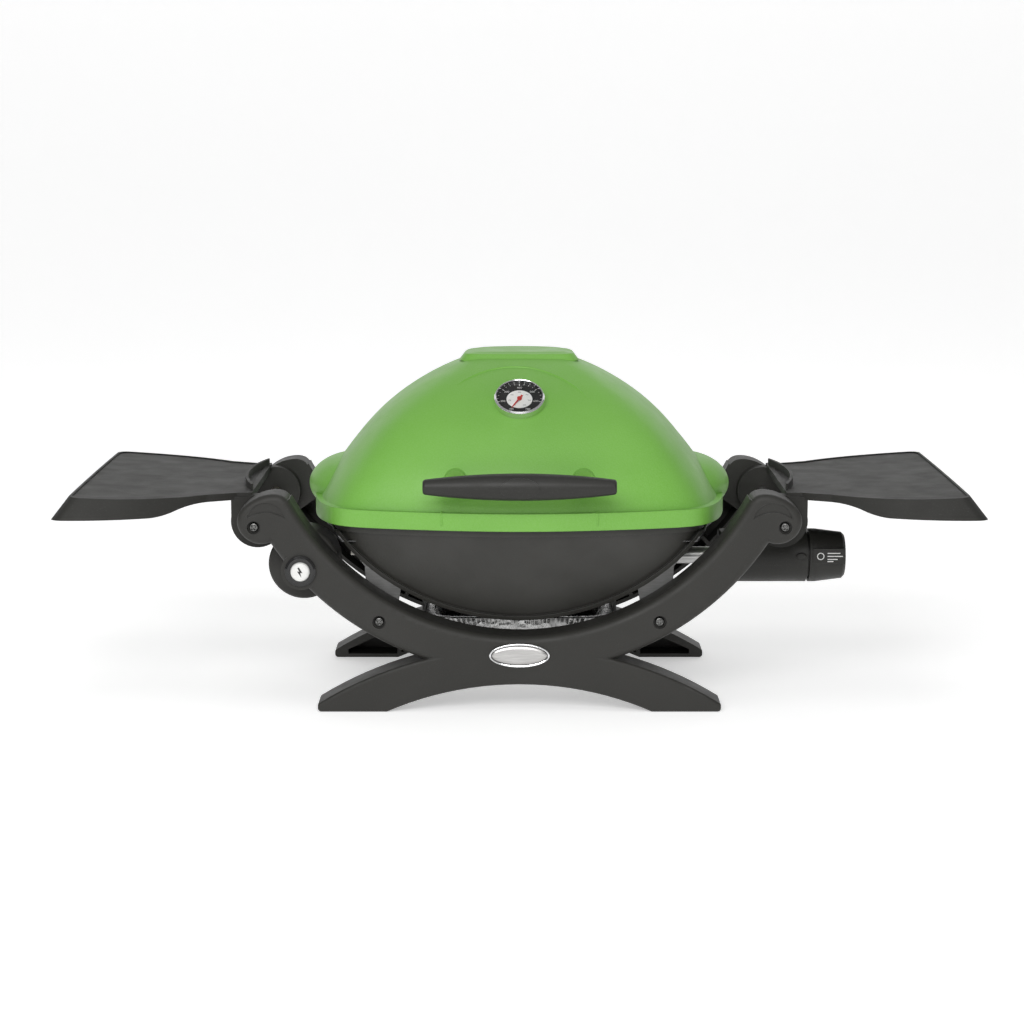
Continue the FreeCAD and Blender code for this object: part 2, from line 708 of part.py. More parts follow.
def make_handle_screws():
    """Screws from inside the lid, through its bosses and posts, into the handle."""
    screws = []
    for index, side in enumerate((LEFT, RIGHT)):
        profile = [("0", "0"), ("0", "2.4"), ("38", "2.4"), ("38", "post_radius"),
                   ("41", "post_radius / 2"), ("41", "0")]
        base = Vector(side * value("post_x"), -value("handle_y") + 16, value("handle_z"))
        screws.append(turned(f"handle_screw_{index}", profile, base, Y_AXIS))
    return group("handle_screws", *screws)


def make_emblem():
    """A plain oval ring on the front of the handle."""
    half_x, half_z = 21.7, 11.5
    outer = Part.Face(Part.Wire([Part.Ellipse(Vector(0, 0, 0), half_x, half_z).toShape()]))
    plate = outer.extrude(Vector(0, 0, 20))
    placed = Placement(Vector(0, -value("handle_y"), value("handle_z")), Rotation(X_AXIS, 90))
    plate.Placement = placed
    shell_start = Vector(-30, -value("handle_y"), value("handle_z"))
    shell = Part.makeCylinder(value("handle_radius") + 0.9, 60, shell_start, X_AXIS)
    return shaped("handle_emblem", plate.common(shell).cut(handle_space()))


def make_gauge():
    """The thermometer: bezel, dial, glass, needle and stem, all turned about one axis."""
    axis = gauge_axis()
    bezel = [("-2", "gauge_radius - 5"), ("-2", "gauge_radius - 1"), ("3", "gauge_radius"),
             ("8", "gauge_radius - 0.5"), ("10", "gauge_radius - 2"), ("9.4", "gauge_radius - 2.8"),
             ("3", "gauge_radius - 2.8"), ("3", "gauge_radius - 5")]
    dial = [("3", "0"), ("3", "gauge_radius - 2.8"), ("4", "gauge_radius - 2.8"), ("4", "0")]
    glass = [("8", "0"), ("8", "gauge_radius - 2.8"), ("9", "gauge_radius - 2.8"),
             ("9.4", "gauge_radius - 12"), ("9.4", "0")]
    stem = [("-24", "0"), ("-24", "2"), ("-23", "3"), ("3", "3"), ("3", "0")]
    made = [turned("thermometer_bezel", bezel, gauge_spot(0), axis),
            turned("thermometer_dial", dial, gauge_spot(0), axis),
            turned("thermometer_glass", glass, gauge_spot(0), axis),
            turned("thermometer_stem", stem, gauge_spot(0), axis)]
    return made + [make_needle()]


def make_needle():
    """A pointer on a small hub, lying just above the dial."""
    hub = Part.makeCylinder(2.6, 2, Vector(0, 0, 4.5))
    tail, tip = -6, value("gauge_radius") - 12
    outline = [Vector(-1.1, tail, 5), Vector(1.1, tail, 5), Vector(0.4, tip, 5), Vector(-0.4, tip, 5)]
    arm = Part.Face(Part.makePolygon(outline + outline[:1])).extrude(Vector(0, 0, 0.8))
    arm.rotate(Vector(0, 0, 0), Z_AXIS, 150)
    needle = shaped("thermometer_needle", hub.fuse(arm).removeSplitter())
    needle.Placement = Placement(gauge_spot(0), Rotation(Z_AXIS, gauge_axis()))
    return needle


def make_hinge(word, side):
    """The bracket bolted behind the cookbox and the pin that carries the lid."""
    x = side * value("hinge_x")
    y, z = value("hinge_y"), value("hinge_z")
    arm = block(f"hinge_arm_{word}", (x - 8.7, 165, 202), (x + 8.7, y, 212))
    riser = block(f"hinge_riser_{word}", (x - 8.7, y - 8, 202), (x + 8.7, y + 8, z))
    eye = cylinder(f"hinge_eye_{word}", "8", "17.4", Vector(x - 8.7, y, z), X_AXIS)
    hole = cylinder(f"hinge_hole_{word}", "hinge_pin + 0.05", "40", Vector(x - 20, y, z), X_AXIS)
    bowl_space = shaped(f"hinge_bowl_space_{word}", cast_slab(228, 184, 190, value("bowl_top")))
    whole = fuse(f"hinge_bracket_whole_{word}", arm, riser, eye)
    bracket = cut(f"hinge_bracket_{word}", whole, hole, bowl_space)
    profile = [("0", "0"), ("0", "hinge_pin + 2"), ("2", "hinge_pin + 2"), ("2", "hinge_pin"),
               ("33", "hinge_pin"), ("33", "0")]
    pin = turned(f"hinge_pin_{word}", profile, Vector(x - 17.3, y, z), X_AXIS)
    return [bracket, pin]


# --------------------------------------------------------------- gas and knob

def make_burner():
    """A stainless tube: straight in from the valve, then a loop under the grates."""
    height = value("gas_z")
    half_x, half_y, bend = 112, 86, 34
    bends = []
    for index, (side_x, side_y) in enumerate([(1, 1), (-1, 1), (-1, -1), (1, -1)]):
        centre = Vector(side_x * (half_x - bend), side_y * (half_y - bend), height)
        bends.append(Part.makeCircle(bend, centre, Z_AXIS, 90 * index, 90 * index + 90))
    edges = []
    for turn, following in zip(bends, bends[1:] + bends[:1]):
        edges += [turn, Part.makeLine(turn.Vertexes[-1].Point, following.Vertexes[0].Point)]
    path = Part.Wire(edges[-1:] + edges[:-1])
    ring = Part.Wire([Part.makeCircle(value("burner_radius"), Vector(half_x, 0, height), Y_AXIS)])
    start = value("housing_start") + 30
    loop = path.makePipeShell([ring], True, False)
    feed = Part.makeCylinder(value("burner_radius"), start - half_x, Vector(half_x, 0, height), X_AXIS)
    bore = Part.makeCylinder(value("burner_radius") - value("burner_wall"), start - half_x - 8,
                             Vector(half_x + 9, 0, height), X_AXIS)
    return shaped("burner_tube", loop.fuse(feed).cut(bore))


def make_gas_parts():
    """Housing, valve, regulator with its threaded socket, stem, spring washer and knob."""
    centre = Vector(0, 0, value("gas_z"))
    housing = turned("housing_shell", [
        ("housing_start", "burner_radius + 0.3"), ("housing_start", "housing_radius - 2"),
        ("housing_start + 2", "housing_radius"), ("housing_end", "housing_radius"),
        ("housing_end", "26.5"), ("housing_end + 6", "26.5"), ("housing_end + 6", "24"),
        ("housing_end - 3", "24"), ("housing_end - 3", "housing_radius - 3"),
        ("housing_start + 4", "housing_radius - 3"), ("housing_start + 4", "burner_radius + 0.3"),
    ], centre, X_AXIS)
    neck_hole = cylinder("housing_inlet_hole", "17", "60", Vector(value("inlet_x"), 10, value("gas_z")))
    cut("valve_housing", housing, neck_hole)

    turned("gas_valve", [
        ("housing_start + 30.2", "0"), ("housing_start + 30.2", "13"), ("326", "13"),
        ("326", "stem_radius + 0.05"), ("306", "stem_radius + 0.05"), ("306", "0"),
    ], centre, X_AXIS)
    regulator = turned("regulator_blank", [
        ("13.5", "0"), ("13.5", "9"), ("24", "16.5"), ("34", "16.5"), ("38", "24"), ("62", "24"),
        ("66", "20"),
        ("72", "20"), ("72", "inlet_radius"), ("44", "inlet_radius"), ("44", "0"),
    ], Vector(value("inlet_x"), 0, value("gas_z")), Y_AXIS)
    valve_space = cylinder("regulator_valve_space", "13", "80",
                           Vector(value("inlet_x") - 40, 0, value("gas_z")), X_AXIS)
    cut("gas_regulator", regulator, valve_space)

    turned("valve_stem", [
        ("309.5", "0"), ("309.5", "stem_radius"), ("370", "stem_radius"), ("370", "0"),
    ], centre, X_AXIS)
    turned("stem_washer", [
        ("335", "stem_radius + 0.05"), ("335", "9.5"), ("337", "9.5"), ("337", "stem_radius + 0.05"),
    ], centre, X_AXIS)
    make_stem_spring(centre)
    make_knob(centre)


def make_stem_spring(centre):
    """Four cupped spring washers, back to back, that push the knob out."""
    low, pitch, thick = 326.1, 1.42, 0.6
    inner, outer = [], []
    for index in range(5):
        radius = (5.6, 8.2)[index % 2]
        inner.append((str(low + index * pitch), str(radius)))
        outer.append((str(low + index * pitch + thick), str(radius)))
    turned("stem_spring", inner + outer[::-1], centre, X_AXIS)


def make_knob(centre):
    """A tapered knob with a grip bar across its face and a raised pointer."""
    skirt = turned("knob_skirt", [
        ("knob_start", "27.2"), ("knob_start", "housing_radius"), ("knob_start + 8", "housing_radius"),
        ("knob_end - 3", "knob_tip"), ("knob_end", "knob_tip - 3"), ("knob_end", "stem_radius"),
        ("350", "stem_radius"), ("350", "27.2"),
    ], centre, X_AXIS)
    bore = turned("knob_bore", [
        ("340", "0"), ("340", "27.2"), ("350", "27.2"), ("350", "stem_radius"),
        ("370", "stem_radius"), ("370", "0"),
    ], centre, X_AXIS)
    cap = turned("knob_cap", [
        ("352", "0"), ("352", "20"), ("knob_end", "20"), ("knob_end", "0"),
    ], centre, X_AXIS)
    low = (value("knob_start") + 3, -value("housing_radius") - 0.6, value("gas_z") - 5)
    pointer = block("knob_pointer", low, (value("knob_end") - 2, -22, value("gas_z") + 13))
    whole = fuse("knob_whole", skirt, cap, pointer)
    return cut("control_knob", whole, bore)


# ------------------------------------------------------------------- igniter

def make_igniter():
    """The push-button lighter behind the front frame's left arm."""
    centre = Vector(-value("igniter_x"), 0, value("igniter_z"))
    inner_face = value("frame_face") - value("frame_depth")
    face = -value("frame_face")
    bezel = turned("igniter_bezel", [
        ("-4", "button_radius + 0.3"), ("-4", "bezel_radius - 1.5"), ("-2.5", "bezel_radius + 1.2"),
        ("-0.1", "bezel_radius + 1.2"), ("-0.1", "bezel_radius - 0.05"), ("34", "bezel_radius - 0.05"),
        ("34", "button_radius + 0.3"),
    ], centre + Vector(0, face, 0), Y_AXIS)
    housing = turned("igniter_housing", [
        ("0.3", "bezel_radius - 2"), ("0.3", "igniter_radius - 2"), ("2.3", "igniter_radius"),
        ("50", "igniter_radius"), ("54", "igniter_radius - 4"), ("54", "0"), ("50", "0"),
        ("50", "igniter_radius - 6"), ("4", "igniter_radius - 6"), ("4", "bezel_radius - 2"),
    ], centre + Vector(0, -inner_face, 0), Y_AXIS)
    button = turned("igniter_button", [
        ("-9", "0"), ("-9", "button_radius - 3"), ("-8", "button_radius - 1"), ("-6", "button_radius"),
        ("20", "button_radius"), ("20", "4"), ("45", "4"), ("45", "0"),
    ], centre + Vector(0, face, 0), Y_AXIS)
    spring_wire = Part.Wire([Part.makeCircle(0.7, Vector(6, 0, 0), Y_AXIS)])
    helix = Part.Wire(Part.makeHelix(3, 12, 6).Edges).makePipeShell([spring_wire], True, True)
    spring = shaped("igniter_spring", helix)
    spring.Placement = Placement(centre + Vector(0, face + 27, 0), Rotation(Z_AXIS, Y_AXIS))
    electrode = turned("igniter_electrode", [
        ("0", "0"), ("0", "4.2"), ("50", "4.2"), ("50", "1"), ("66", "1"), ("66", "0"),
    ], Vector(-196, -50, 165), X_AXIS)
    return [bezel, housing, button, spring, electrode]


# -------------------------------------------------------------------- tables

def table_ring(side, z, lean_x, lean_y, inset):
    """A table's outline at one height; lean pushes it out, inset pulls it in."""
    inner, outer = value("table_inner"), value("table_outer") + lean_x - inset
    narrow = 116 - inset
    neck, wide = 130 + lean_y / 2 - inset, 182 + lean_y - inset
    start = inner + 2 * inset
    corner = outer - 14
    neck_start, neck_end = 320 + inset, 352 + inset
    steps = [
        Part.LineSegment(Vector(start, -narrow, z), Vector(neck_start, -narrow, z)),
        Part.LineSegment(Vector(neck_start, -narrow, z), Vector(neck_end, -neck, z)),
        Part.Arc(Vector(neck_end, -neck, z), Vector(415, -wide + 15, z), Vector(corner, -wide, z)),
        Part.Arc(Vector(corner, -wide, z), Vector(outer - 5, -wide + 4, z),
                 Vector(outer - 1, -wide + 14, z)),
        Part.Arc(Vector(outer - 1, -wide + 14, z), Vector(outer, 0, z), Vector(outer - 1, wide - 14, z)),
        Part.Arc(Vector(outer - 1, wide - 14, z), Vector(outer - 5, wide - 4, z), Vector(corner, wide, z)),
        Part.Arc(Vector(corner, wide, z), Vector(415, wide - 15, z), Vector(neck_end, neck, z)),
        Part.LineSegment(Vector(neck_end, neck, z), Vector(neck_start, narrow, z)),
        Part.LineSegment(Vector(neck_start, narrow, z), Vector(start, narrow, z)),
        Part.LineSegment(Vector(start, narrow, z), Vector(start, -narrow, z)),
    ]
    wire = Part.Wire([step.toShape() for step in steps])
    if side == LEFT:
        wire.rotate(Vector(0, 0, 0), Z_AXIS, 180)
    return wire


def table_profile(side, drop, floor):
    """The table seen from the front: a dished top and a skirt that deepens outwards."""
    top = value("table_z") - drop
    edges = [Part.Arc(Vector(290, -220, top), Vector(415, -220, top + 1), Vector(530, -220, top + 7))]
    if floor is not None:
        ends = [(530, top + 7), (530, floor), (290, floor), (290, top)]
        edges += [Part.LineSegment(Vector(a, -220, b), Vector(c, -220, d))
                  for (a, b), (c, d) in zip(ends, ends[1:])]
    else:
        low, high = 225, 236.6
        edges += [
            Part.LineSegment(Vector(530, -220, top + 7), Vector(530, -220, low)),
            Part.LineSegment(Vector(530, -220, low), Vector(412, -220, low)),
            Part.Arc(Vector(412, -220, low), Vector(397, -220, low + 2), Vector(385, -220, low + 5.8)),
            Part.Arc(Vector(385, -220, low + 5.8), Vector(373, -220, high - 2), Vector(358, -220, high)),
            Part.LineSegment(Vector(358, -220, high), Vector(290, -220, high)),
            Part.LineSegment(Vector(290, -220, high), Vector(290, -220, top)),
        ]
    solid = Part.Face(Part.Wire([edge.toShape() for edge in edges])).extrude(Vector(0, 440, 0))
    if side == LEFT:
        solid.rotate(Vector(0, 0, 0), Z_AXIS, 180)
    return solid


def table_blank(side, inset):
    """The table's tapering block: wider at the foot of its skirt than on top."""
    lean = value("table_flare")
    high, low = 251, 225
    stretch = (low - 205) / (high - low)
    foot = table_ring(side, 205, lean * (1 + stretch), 8 * (1 + stretch), inset)
    return Part.makeLoft([foot, table_ring(side, high, 0, 0, inset)], True, True)


def table_rim(side):
    """The low raised edge round a table's top."""
    proud = value("table_rim")
    edge = table_blank(side, 0).common(table_profile(side, -proud, value("table_z") - 3))
    return edge.cut(table_blank(side, value("table_wall") - 0.5))


def table_lip(side):
    """The curved stop that stands up across a table's inner end."""
    radius, thick = value("lip_radius"), value("table_wall")
    foot = value("table_z") - 4
    centre = Vector(side * (value("lip_x") - radius), 0, foot)
    tall = value("lip_high") + 4
    wall = Part.makeCylinder(radius, tall, centre).cut(Part.makeCylinder(radius - thick, tall, centre))
    near_x = sorted((side * (value("table_inner") + 1), side * (value("lip_x") + 1)))
    return wall.common(Part.makeBox(near_x[1] - near_x[0], 200, tall, Vector(near_x[0], -100, foot)))


def make_table(name, side):
    """A moulded folding table with ribs below and hinge discs at its inner end."""
    wall = value("table_wall")
    outside = table_blank(side, 0).common(table_profile(side, 0, None))
    hollow = table_blank(side, wall).common(table_profile(side, wall, 200))
    rib_start = min(side * 310, side * 510)
    ribs = [Part.makeBox(200, 2.5, 60, Vector(rib_start, y, 200)) for y in (-95, -1.2, 92.5)]
    ribs += [Part.makeBox(2.5, 400, 60, Vector(side * x, -200, 200)) for x in (350, 405, 460)]
    low_edge = table_profile(side, 0, None)
    low_edge.translate(Vector(0, 0, 4))
    ribs = [rib.common(outside).common(low_edge) for rib in ribs]
    added = ribs + [table_rim(side), table_lip(side)]
    shell = shaped(name + "_shell", outside.cut(hollow).fuse(added).removeSplitter())

    pivot = Vector(side * value("pivot_x"), 0, value("pivot_z"))
    discs, near, far = [], value("disc_near"), value("disc_far")
    for word, start in (("front", -far), ("rear", near)):
        discs.append(cylinder(f"{name}_disc_{word}", "disc_radius", "disc_far - disc_near",
                              pivot + Vector(0, start, 0)))
        web_x = sorted((side * (value("table_inner") + 0.2), side * 327))
        discs.append(block(f"{name}_web_{word}", (web_x[0], start, value("pivot_z")),
                           (web_x[1], start + far - near, 240)))
    bore = cylinder(name + "_bore", "pivot_radius + 0.05", "300", pivot + Vector(0, -150, 0))
    return cut(name, fuse(name + "_whole", shell, *discs), bore)


# ----------------------------------------------------------------- catch pan

def pan_block(top_x, top_y, low_x, low_y, high, low):
    """A rectangular tray's volume, tapering downwards."""
    rings = []
    for half_x, half_y, z in ((top_x, top_y, high), (low_x, low_y, low)):
        ends = [Vector(-half_x, -half_y, z), Vector(half_x, -half_y, z),
                Vector(half_x, half_y, z), Vector(-half_x, half_y, z)]
        rings.append(Part.makePolygon(ends + ends[:1]))
    return Part.makeLoft(rings, True, True)


def make_catch_pan():
    """The foil tray under the drain hole, hung by its rim."""
    half_x, high = value("pan_half_x"), value("pan_rim_z")
    low = high - value("pan_deep")
    foil = 1.4
    outside = pan_block(half_x, 70, half_x - 8, 62, high, low)
    inside = pan_block(half_x - foil, 70 - foil, half_x - 8 - foil, 62 - foil, high, low + foil)
    rim = Part.makeBox(2 * half_x + 18, 158, 1.7, Vector(-half_x - 9, -79, high - 1.7))
    return shaped("catch_pan", rim.fuse(outside).cut(inside).removeSplitter())


def make_pan_rail(name, side):
    """A bent rail under the cookbox that the pan's rim slides in."""
    shelf = value("pan_rim_z") - 4
    half_x = value("pan_half_x")
    wall = block(name + "_wall", (min(side * (half_x + 10), side * (half_x + 12)), -80, shelf),
                 (max(side * (half_x + 10), side * (half_x + 12)), 80, 130))
    ledge_x = sorted((side * (half_x + 2), side * (half_x + 11)))
    ledge = block(name + "_ledge", (ledge_x[0], -80, shelf), (ledge_x[1], 80, shelf + 2))
    bowl_space = cylinder(name + "_bowl_space", "bowl_radius", "400",
                          Vector(0, -200, value("bowl_low") + value("bowl_radius")))
    return cut(name, fuse(name + "_whole", wall, ledge), bowl_space)


# ------------------------------------------------------------ build and write

def build():
    make_frame("front_frame", FRONT)
    make_frame("rear_frame", REAR)
    make_frame_screws()
    make_badge()
    make_cookbox()
    make_lid()
    make_handle()
    make_handle_posts()
    make_handle_screws()
    make_emblem()
    make_gauge()
    make_burner()
    make_gas_parts()
    make_igniter()
    make_catch_pan()
    for word, side in (("left", LEFT), ("right", RIGHT)):
        make_pivot_rod(f"pivot_rod_{word}", side)
        make_support(f"cookbox_support_{word}", side)
        make_grate(f"grate_{word}", side)
        make_hinge(word, side)
        make_table(f"{word}_table", side)
        make_pan_rail(f"pan_rail_{word}", side)


NODES = """
front_frame rear_frame frame_screws front_badge pivot_rod_left pivot_rod_right
cookbox_support_left cookbox_support_right cookbox grate_left grate_right burner_tube
lid lid_handle handle_posts handle_screws handle_emblem
thermometer_bezel thermometer_dial thermometer_glass thermometer_stem thermometer_needle
hinge_bracket_left hinge_bracket_right hinge_pin_left hinge_pin_right
left_table right_table catch_pan pan_rail_left pan_rail_right
valve_housing gas_valve gas_regulator valve_stem stem_washer stem_spring control_knob
igniter_bezel igniter_housing igniter_button igniter_spring igniter_electrode
""".split()


def check():
    """Stop before writing anything if a feature failed or a node's shape is bad."""
    doc.recompute()
    for item in doc.Objects:
        if "Invalid" in item.State or "Error" in item.State:
            raise RuntimeError(f"{item.Name} failed: {item.State}")
    for name in NODES:
        shape = doc.getObject(name).Shape
        if shape.isNull() or not shape.isValid() or not shape.Solids:
            raise RuntimeError(f"{name} has no valid solid")


def write():
    os.makedirs("parts", exist_ok=True)
    for name in NODES:
        item = doc.getObject(name)
        item.Label = name
        item.Shape.exportStep(f"parts/{name}.step")


build()
check()
write()
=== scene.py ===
"""Looks of a portable table-top gas grill: materials, small details, floor, light and camera."""

import json
import math
import random

import bmesh
import bpy
from mathutils import Matrix, Vector
from mathutils.bvhtree import BVHTree


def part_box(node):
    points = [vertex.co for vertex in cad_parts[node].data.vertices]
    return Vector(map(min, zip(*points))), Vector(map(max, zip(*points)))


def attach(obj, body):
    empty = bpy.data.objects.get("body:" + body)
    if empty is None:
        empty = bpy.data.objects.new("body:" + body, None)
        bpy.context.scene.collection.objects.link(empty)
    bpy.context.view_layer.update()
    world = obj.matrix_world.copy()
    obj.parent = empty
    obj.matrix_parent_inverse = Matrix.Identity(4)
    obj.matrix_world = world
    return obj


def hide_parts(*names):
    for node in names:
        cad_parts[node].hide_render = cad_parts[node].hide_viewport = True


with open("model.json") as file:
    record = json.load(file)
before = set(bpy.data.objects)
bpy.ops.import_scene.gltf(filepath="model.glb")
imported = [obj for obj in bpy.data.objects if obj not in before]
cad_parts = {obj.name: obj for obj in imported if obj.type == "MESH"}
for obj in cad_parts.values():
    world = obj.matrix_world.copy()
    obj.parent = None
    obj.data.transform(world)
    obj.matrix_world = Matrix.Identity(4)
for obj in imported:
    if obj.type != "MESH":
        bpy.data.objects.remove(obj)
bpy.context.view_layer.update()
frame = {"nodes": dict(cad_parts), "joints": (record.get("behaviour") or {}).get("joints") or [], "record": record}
NODES = frame["nodes"]
JOINTS = {joint["name"]: joint for joint in frame["joints"]}

MM = 0.001
UP = (0, 0, 1)

# ----------------------------------------------------------------- colours

LID_GREEN = (0.172, 0.425, 0.062)
LID_SHADE = (0.152, 0.385, 0.053)
CAST_BLACK = (0.027, 0.0262, 0.0225)
MOULDED_BLACK = (0.026, 0.0252, 0.0222)
TABLE_GREY = (0.024, 0.0235, 0.0210)
NYLON_BLACK = (0.021, 0.0205, 0.0178)
GLOSS_BLACK = (0.010, 0.010, 0.010)
IRON_BLACK = (0.030, 0.028, 0.026)
IRON_BROWN = (0.062, 0.042, 0.028)
STEEL = (0.60, 0.60, 0.59)
PLATED = (0.17, 0.17, 0.165)
CHROME = (0.85, 0.85, 0.86)
ALUMINIUM = (0.78, 0.78, 0.77)
SATIN_SILVER = (0.62, 0.61, 0.60)
BRASS = (0.62, 0.43, 0.16)
ZINC_GREY = (0.34, 0.34, 0.35)
HEAT_TINT = (0.42, 0.30, 0.18)
PRINT_WHITE = (0.80, 0.80, 0.78)
BUTTON_WHITE = (0.78, 0.78, 0.76)
PORCELAIN = (0.80, 0.77, 0.70)
NEEDLE_RED = (0.55, 0.03, 0.02)
DIAL_BLACK = (0.012, 0.012, 0.012)
FLOOR_WHITE = (0.93, 0.93, 0.93)


# ------------------------------------------------------------ node building

def start_material(name):
    """A material with its node tree, ready for a surface to be built in it."""
    material = bpy.data.materials.new(name)
    material.use_nodes = True
    return material, material.node_tree, material.node_tree.nodes["Principled BSDF"]


def noise(tree, scale, detail=3.0, stretch=(1, 1, 1)):
    """Noise in the object's own coordinates; scale is in cells per metre."""
    place = tree.nodes.new("ShaderNodeTexCoord")
    mapping = tree.nodes.new("ShaderNodeMapping")
    mapping.inputs["Scale"].default_value = stretch
    texture = tree.nodes.new("ShaderNodeTexNoise")
    texture.inputs["Scale"].default_value = scale
    texture.inputs["Detail"].default_value = detail
    tree.links.new(place.outputs["Object"], mapping.inputs["Vector"])
    tree.links.new(mapping.outputs["Vector"], texture.inputs["Vector"])
    return texture.outputs["Fac"]


def cells(tree, scale):
    """Distance to the nearest of many scattered points, in cells per metre."""
    place = tree.nodes.new("ShaderNodeTexCoord")
    texture = tree.nodes.new("ShaderNodeTexVoronoi")
    texture.inputs["Scale"].default_value = scale
    tree.links.new(place.outputs["Object"], texture.inputs["Vector"])
    return texture.outputs["Distance"]


def remap(tree, source, low, high, to_low=0.0, to_high=1.0):
    """Stretch one range of a value onto another, clamped."""
    node = tree.nodes.new("ShaderNodeMapRange")
    node.inputs["From Min"].default_value = low
    node.inputs["From Max"].default_value = high
    node.inputs["To Min"].default_value = to_low
    node.inputs["To Max"].default_value = to_high
    tree.links.new(source, node.inputs["Value"])
    return node.outputs["Result"]


def combine(tree, operation, first, second):
    """A maths node of two sources or numbers."""
    node = tree.nodes.new("ShaderNodeMath")
    node.operation = operation
    for socket, source in zip(node.inputs, (first, second)):
        if isinstance(source, (int, float)):
            socket.default_value = source
        else:
            tree.links.new(source, socket)
    return node.outputs["Value"]


def blend_colour(tree, factor, first, second):
    """Mix two colours, each a plain colour or another node's output."""
    node = tree.nodes.new("ShaderNodeMix")
    node.data_type = "RGBA"
    tree.links.new(factor, node.inputs["Factor"])
    for socket, colour in ((node.inputs["A"], first), (node.inputs["B"], second)):
        if isinstance(colour, tuple):
            socket.default_value = (*colour, 1.0)
        else:
            tree.links.new(colour, socket)
    return node.outputs["Result"]


def edge_mask(tree, radius):
    """One where the surface bends sharply within this radius, zero on flats."""
    bevel = tree.nodes.new("ShaderNodeBevel")
    bevel.samples = 4
    bevel.inputs["Radius"].default_value = radius
    geometry = tree.nodes.new("ShaderNodeNewGeometry")
    product = tree.nodes.new("ShaderNodeVectorMath")
    product.operation = "DOT_PRODUCT"
    tree.links.new(bevel.outputs["Normal"], product.inputs[0])
    tree.links.new(geometry.outputs["Normal"], product.inputs[1])
    return remap(tree, product.outputs["Value"], 0.97, 0.80)


def relief(tree, shader, layers, edge_radius=0.0006):
    """Chain bumps, each (height source, depth in metres), onto softly rounded edges."""
    bevel = tree.nodes.new("ShaderNodeBevel")
    bevel.samples = 4
    bevel.inputs["Radius"].default_value = edge_radius
    normal = bevel.outputs["Normal"]
    for height, depth in layers:
        bump = tree.nodes.new("ShaderNodeBump")
        bump.inputs["Distance"].default_value = depth
        tree.links.new(height, bump.inputs["Height"])
        tree.links.new(normal, bump.inputs["Normal"])
        normal = bump.outputs["Normal"]
    tree.links.new(normal, shader.inputs["Normal"])


def lighter(colour, share):
    """The colour moved towards white by that share."""
    return tuple(part + (1 - part) * share for part in colour)


def darker(colour, share):
    """The colour moved towards black by that share."""
    return tuple(part * (1 - share) for part in colour)


# ---------------------------------------------------------------- materials

def moulded(name, colour, roughness=0.52, grain=0.00010, wear=0.07, gloss=0.34, ripple=0.00025):
    """Moulded plastic with a spark-eroded grain, cloudy sheen and rubbed edges."""
    material, tree, shader = start_material(name)
    clouds = remap(tree, noise(tree, 9, 4), 0.3, 0.7)
    specks = remap(tree, noise(tree, 900, 2), 0.60, 0.75)
    scuffs = remap(tree, noise(tree, 60, 5), 0.42, 0.62, 0, 0.55)
    base = blend_colour(tree, clouds, darker(colour, 0.12), lighter(colour, 0.003))
    base = blend_colour(tree, specks, base, lighter(colour, 0.018))
    rubbed = combine(tree, "MULTIPLY", edge_mask(tree, 0.0016), scuffs)
    tree.links.new(blend_colour(tree, rubbed, base, lighter(colour, wear)), shader.inputs["Base Color"])
    tree.links.new(remap(tree, noise(tree, 35, 5), 0.3, 0.7, roughness - 0.05, roughness + 0.06),
                   shader.inputs["Roughness"])
    shader.inputs["Specular IOR Level"].default_value = gloss
    relief(tree, shader, [(noise(tree, 1100, 3), grain), (noise(tree, 14, 2), ripple)])
    return material


def cast_enamel():
    """Green enamel on cast aluminium: fine orange peel under a satin coat, with painted shade along creases and
    sharp bends.
    """
    material, tree, shader = start_material("lid_enamel")
    clouds = remap(tree, noise(tree, 7, 3), 0.35, 0.65)
    specks = remap(tree, noise(tree, 700, 3), 0.35, 0.70, 0.0, 0.35)
    shade_patches = remap(tree, noise(tree, 90, 5), 0.45, 0.65, 0, 0.45)
    base = blend_colour(tree, clouds, LID_SHADE, LID_GREEN)
    base = blend_colour(tree, specks, base, lighter(LID_GREEN, 0.06))
    # painted shade: the enamel is darkened along creases and sharp bends, broken into patches by noise
    thin = combine(tree, "MULTIPLY", edge_mask(tree, 0.002), shade_patches)
    tree.links.new(blend_colour(tree, thin, base, darker(LID_GREEN, 0.45)), shader.inputs["Base Color"])
    tree.links.new(remap(tree, noise(tree, 40, 5), 0.3, 0.7, 0.40, 0.50), shader.inputs["Roughness"])
    shader.inputs["Specular IOR Level"].default_value = 0.35
    shader.inputs["Coat Weight"].default_value = 0.08
    shader.inputs["Coat Roughness"].default_value = 0.32
    relief(tree, shader, [(noise(tree, 520, 4), 0.00022), (noise(tree, 1500, 2), 0.00006)], 0.0012)
    return material


def cast_paint():
    """Dark heat-proof paint on the cast cookbox, with a greasy sheen in places."""
    material, tree, shader = start_material("cast_box")
    clouds = remap(tree, noise(tree, 12, 5), 0.3, 0.7)
    base = blend_colour(tree, clouds, darker(CAST_BLACK, 0.15), lighter(CAST_BLACK, 0.005))
    tree.links.new(base, shader.inputs["Base Color"])
    tree.links.new(remap(tree, noise(tree, 28, 5), 0.35, 0.7, 0.42, 0.56), shader.inputs["Roughness"])
    relief(tree, shader, [(noise(tree, 420, 4), 0.00020), (noise(tree, 1400, 2), 0.00005)], 0.001)
    return material


def cast_iron():
    """Porcelain-coated iron grates: rough, black, browned here and there."""
    material, tree, shader = start_material("cast_iron")
    stain = remap(tree, noise(tree, 22, 6), 0.48, 0.70)
    base = blend_colour(tree, stain, IRON_BLACK, IRON_BROWN)
    tree.links.new(base, shader.inputs["Base Color"])
    tree.links.new(remap(tree, noise(tree, 50, 5), 0.3, 0.7, 0.38, 0.62), shader.inputs["Roughness"])
    relief(tree, shader, [(noise(tree, 300, 5), 0.0004), (cells(tree, 500), 0.00012)], 0.001)
    return material


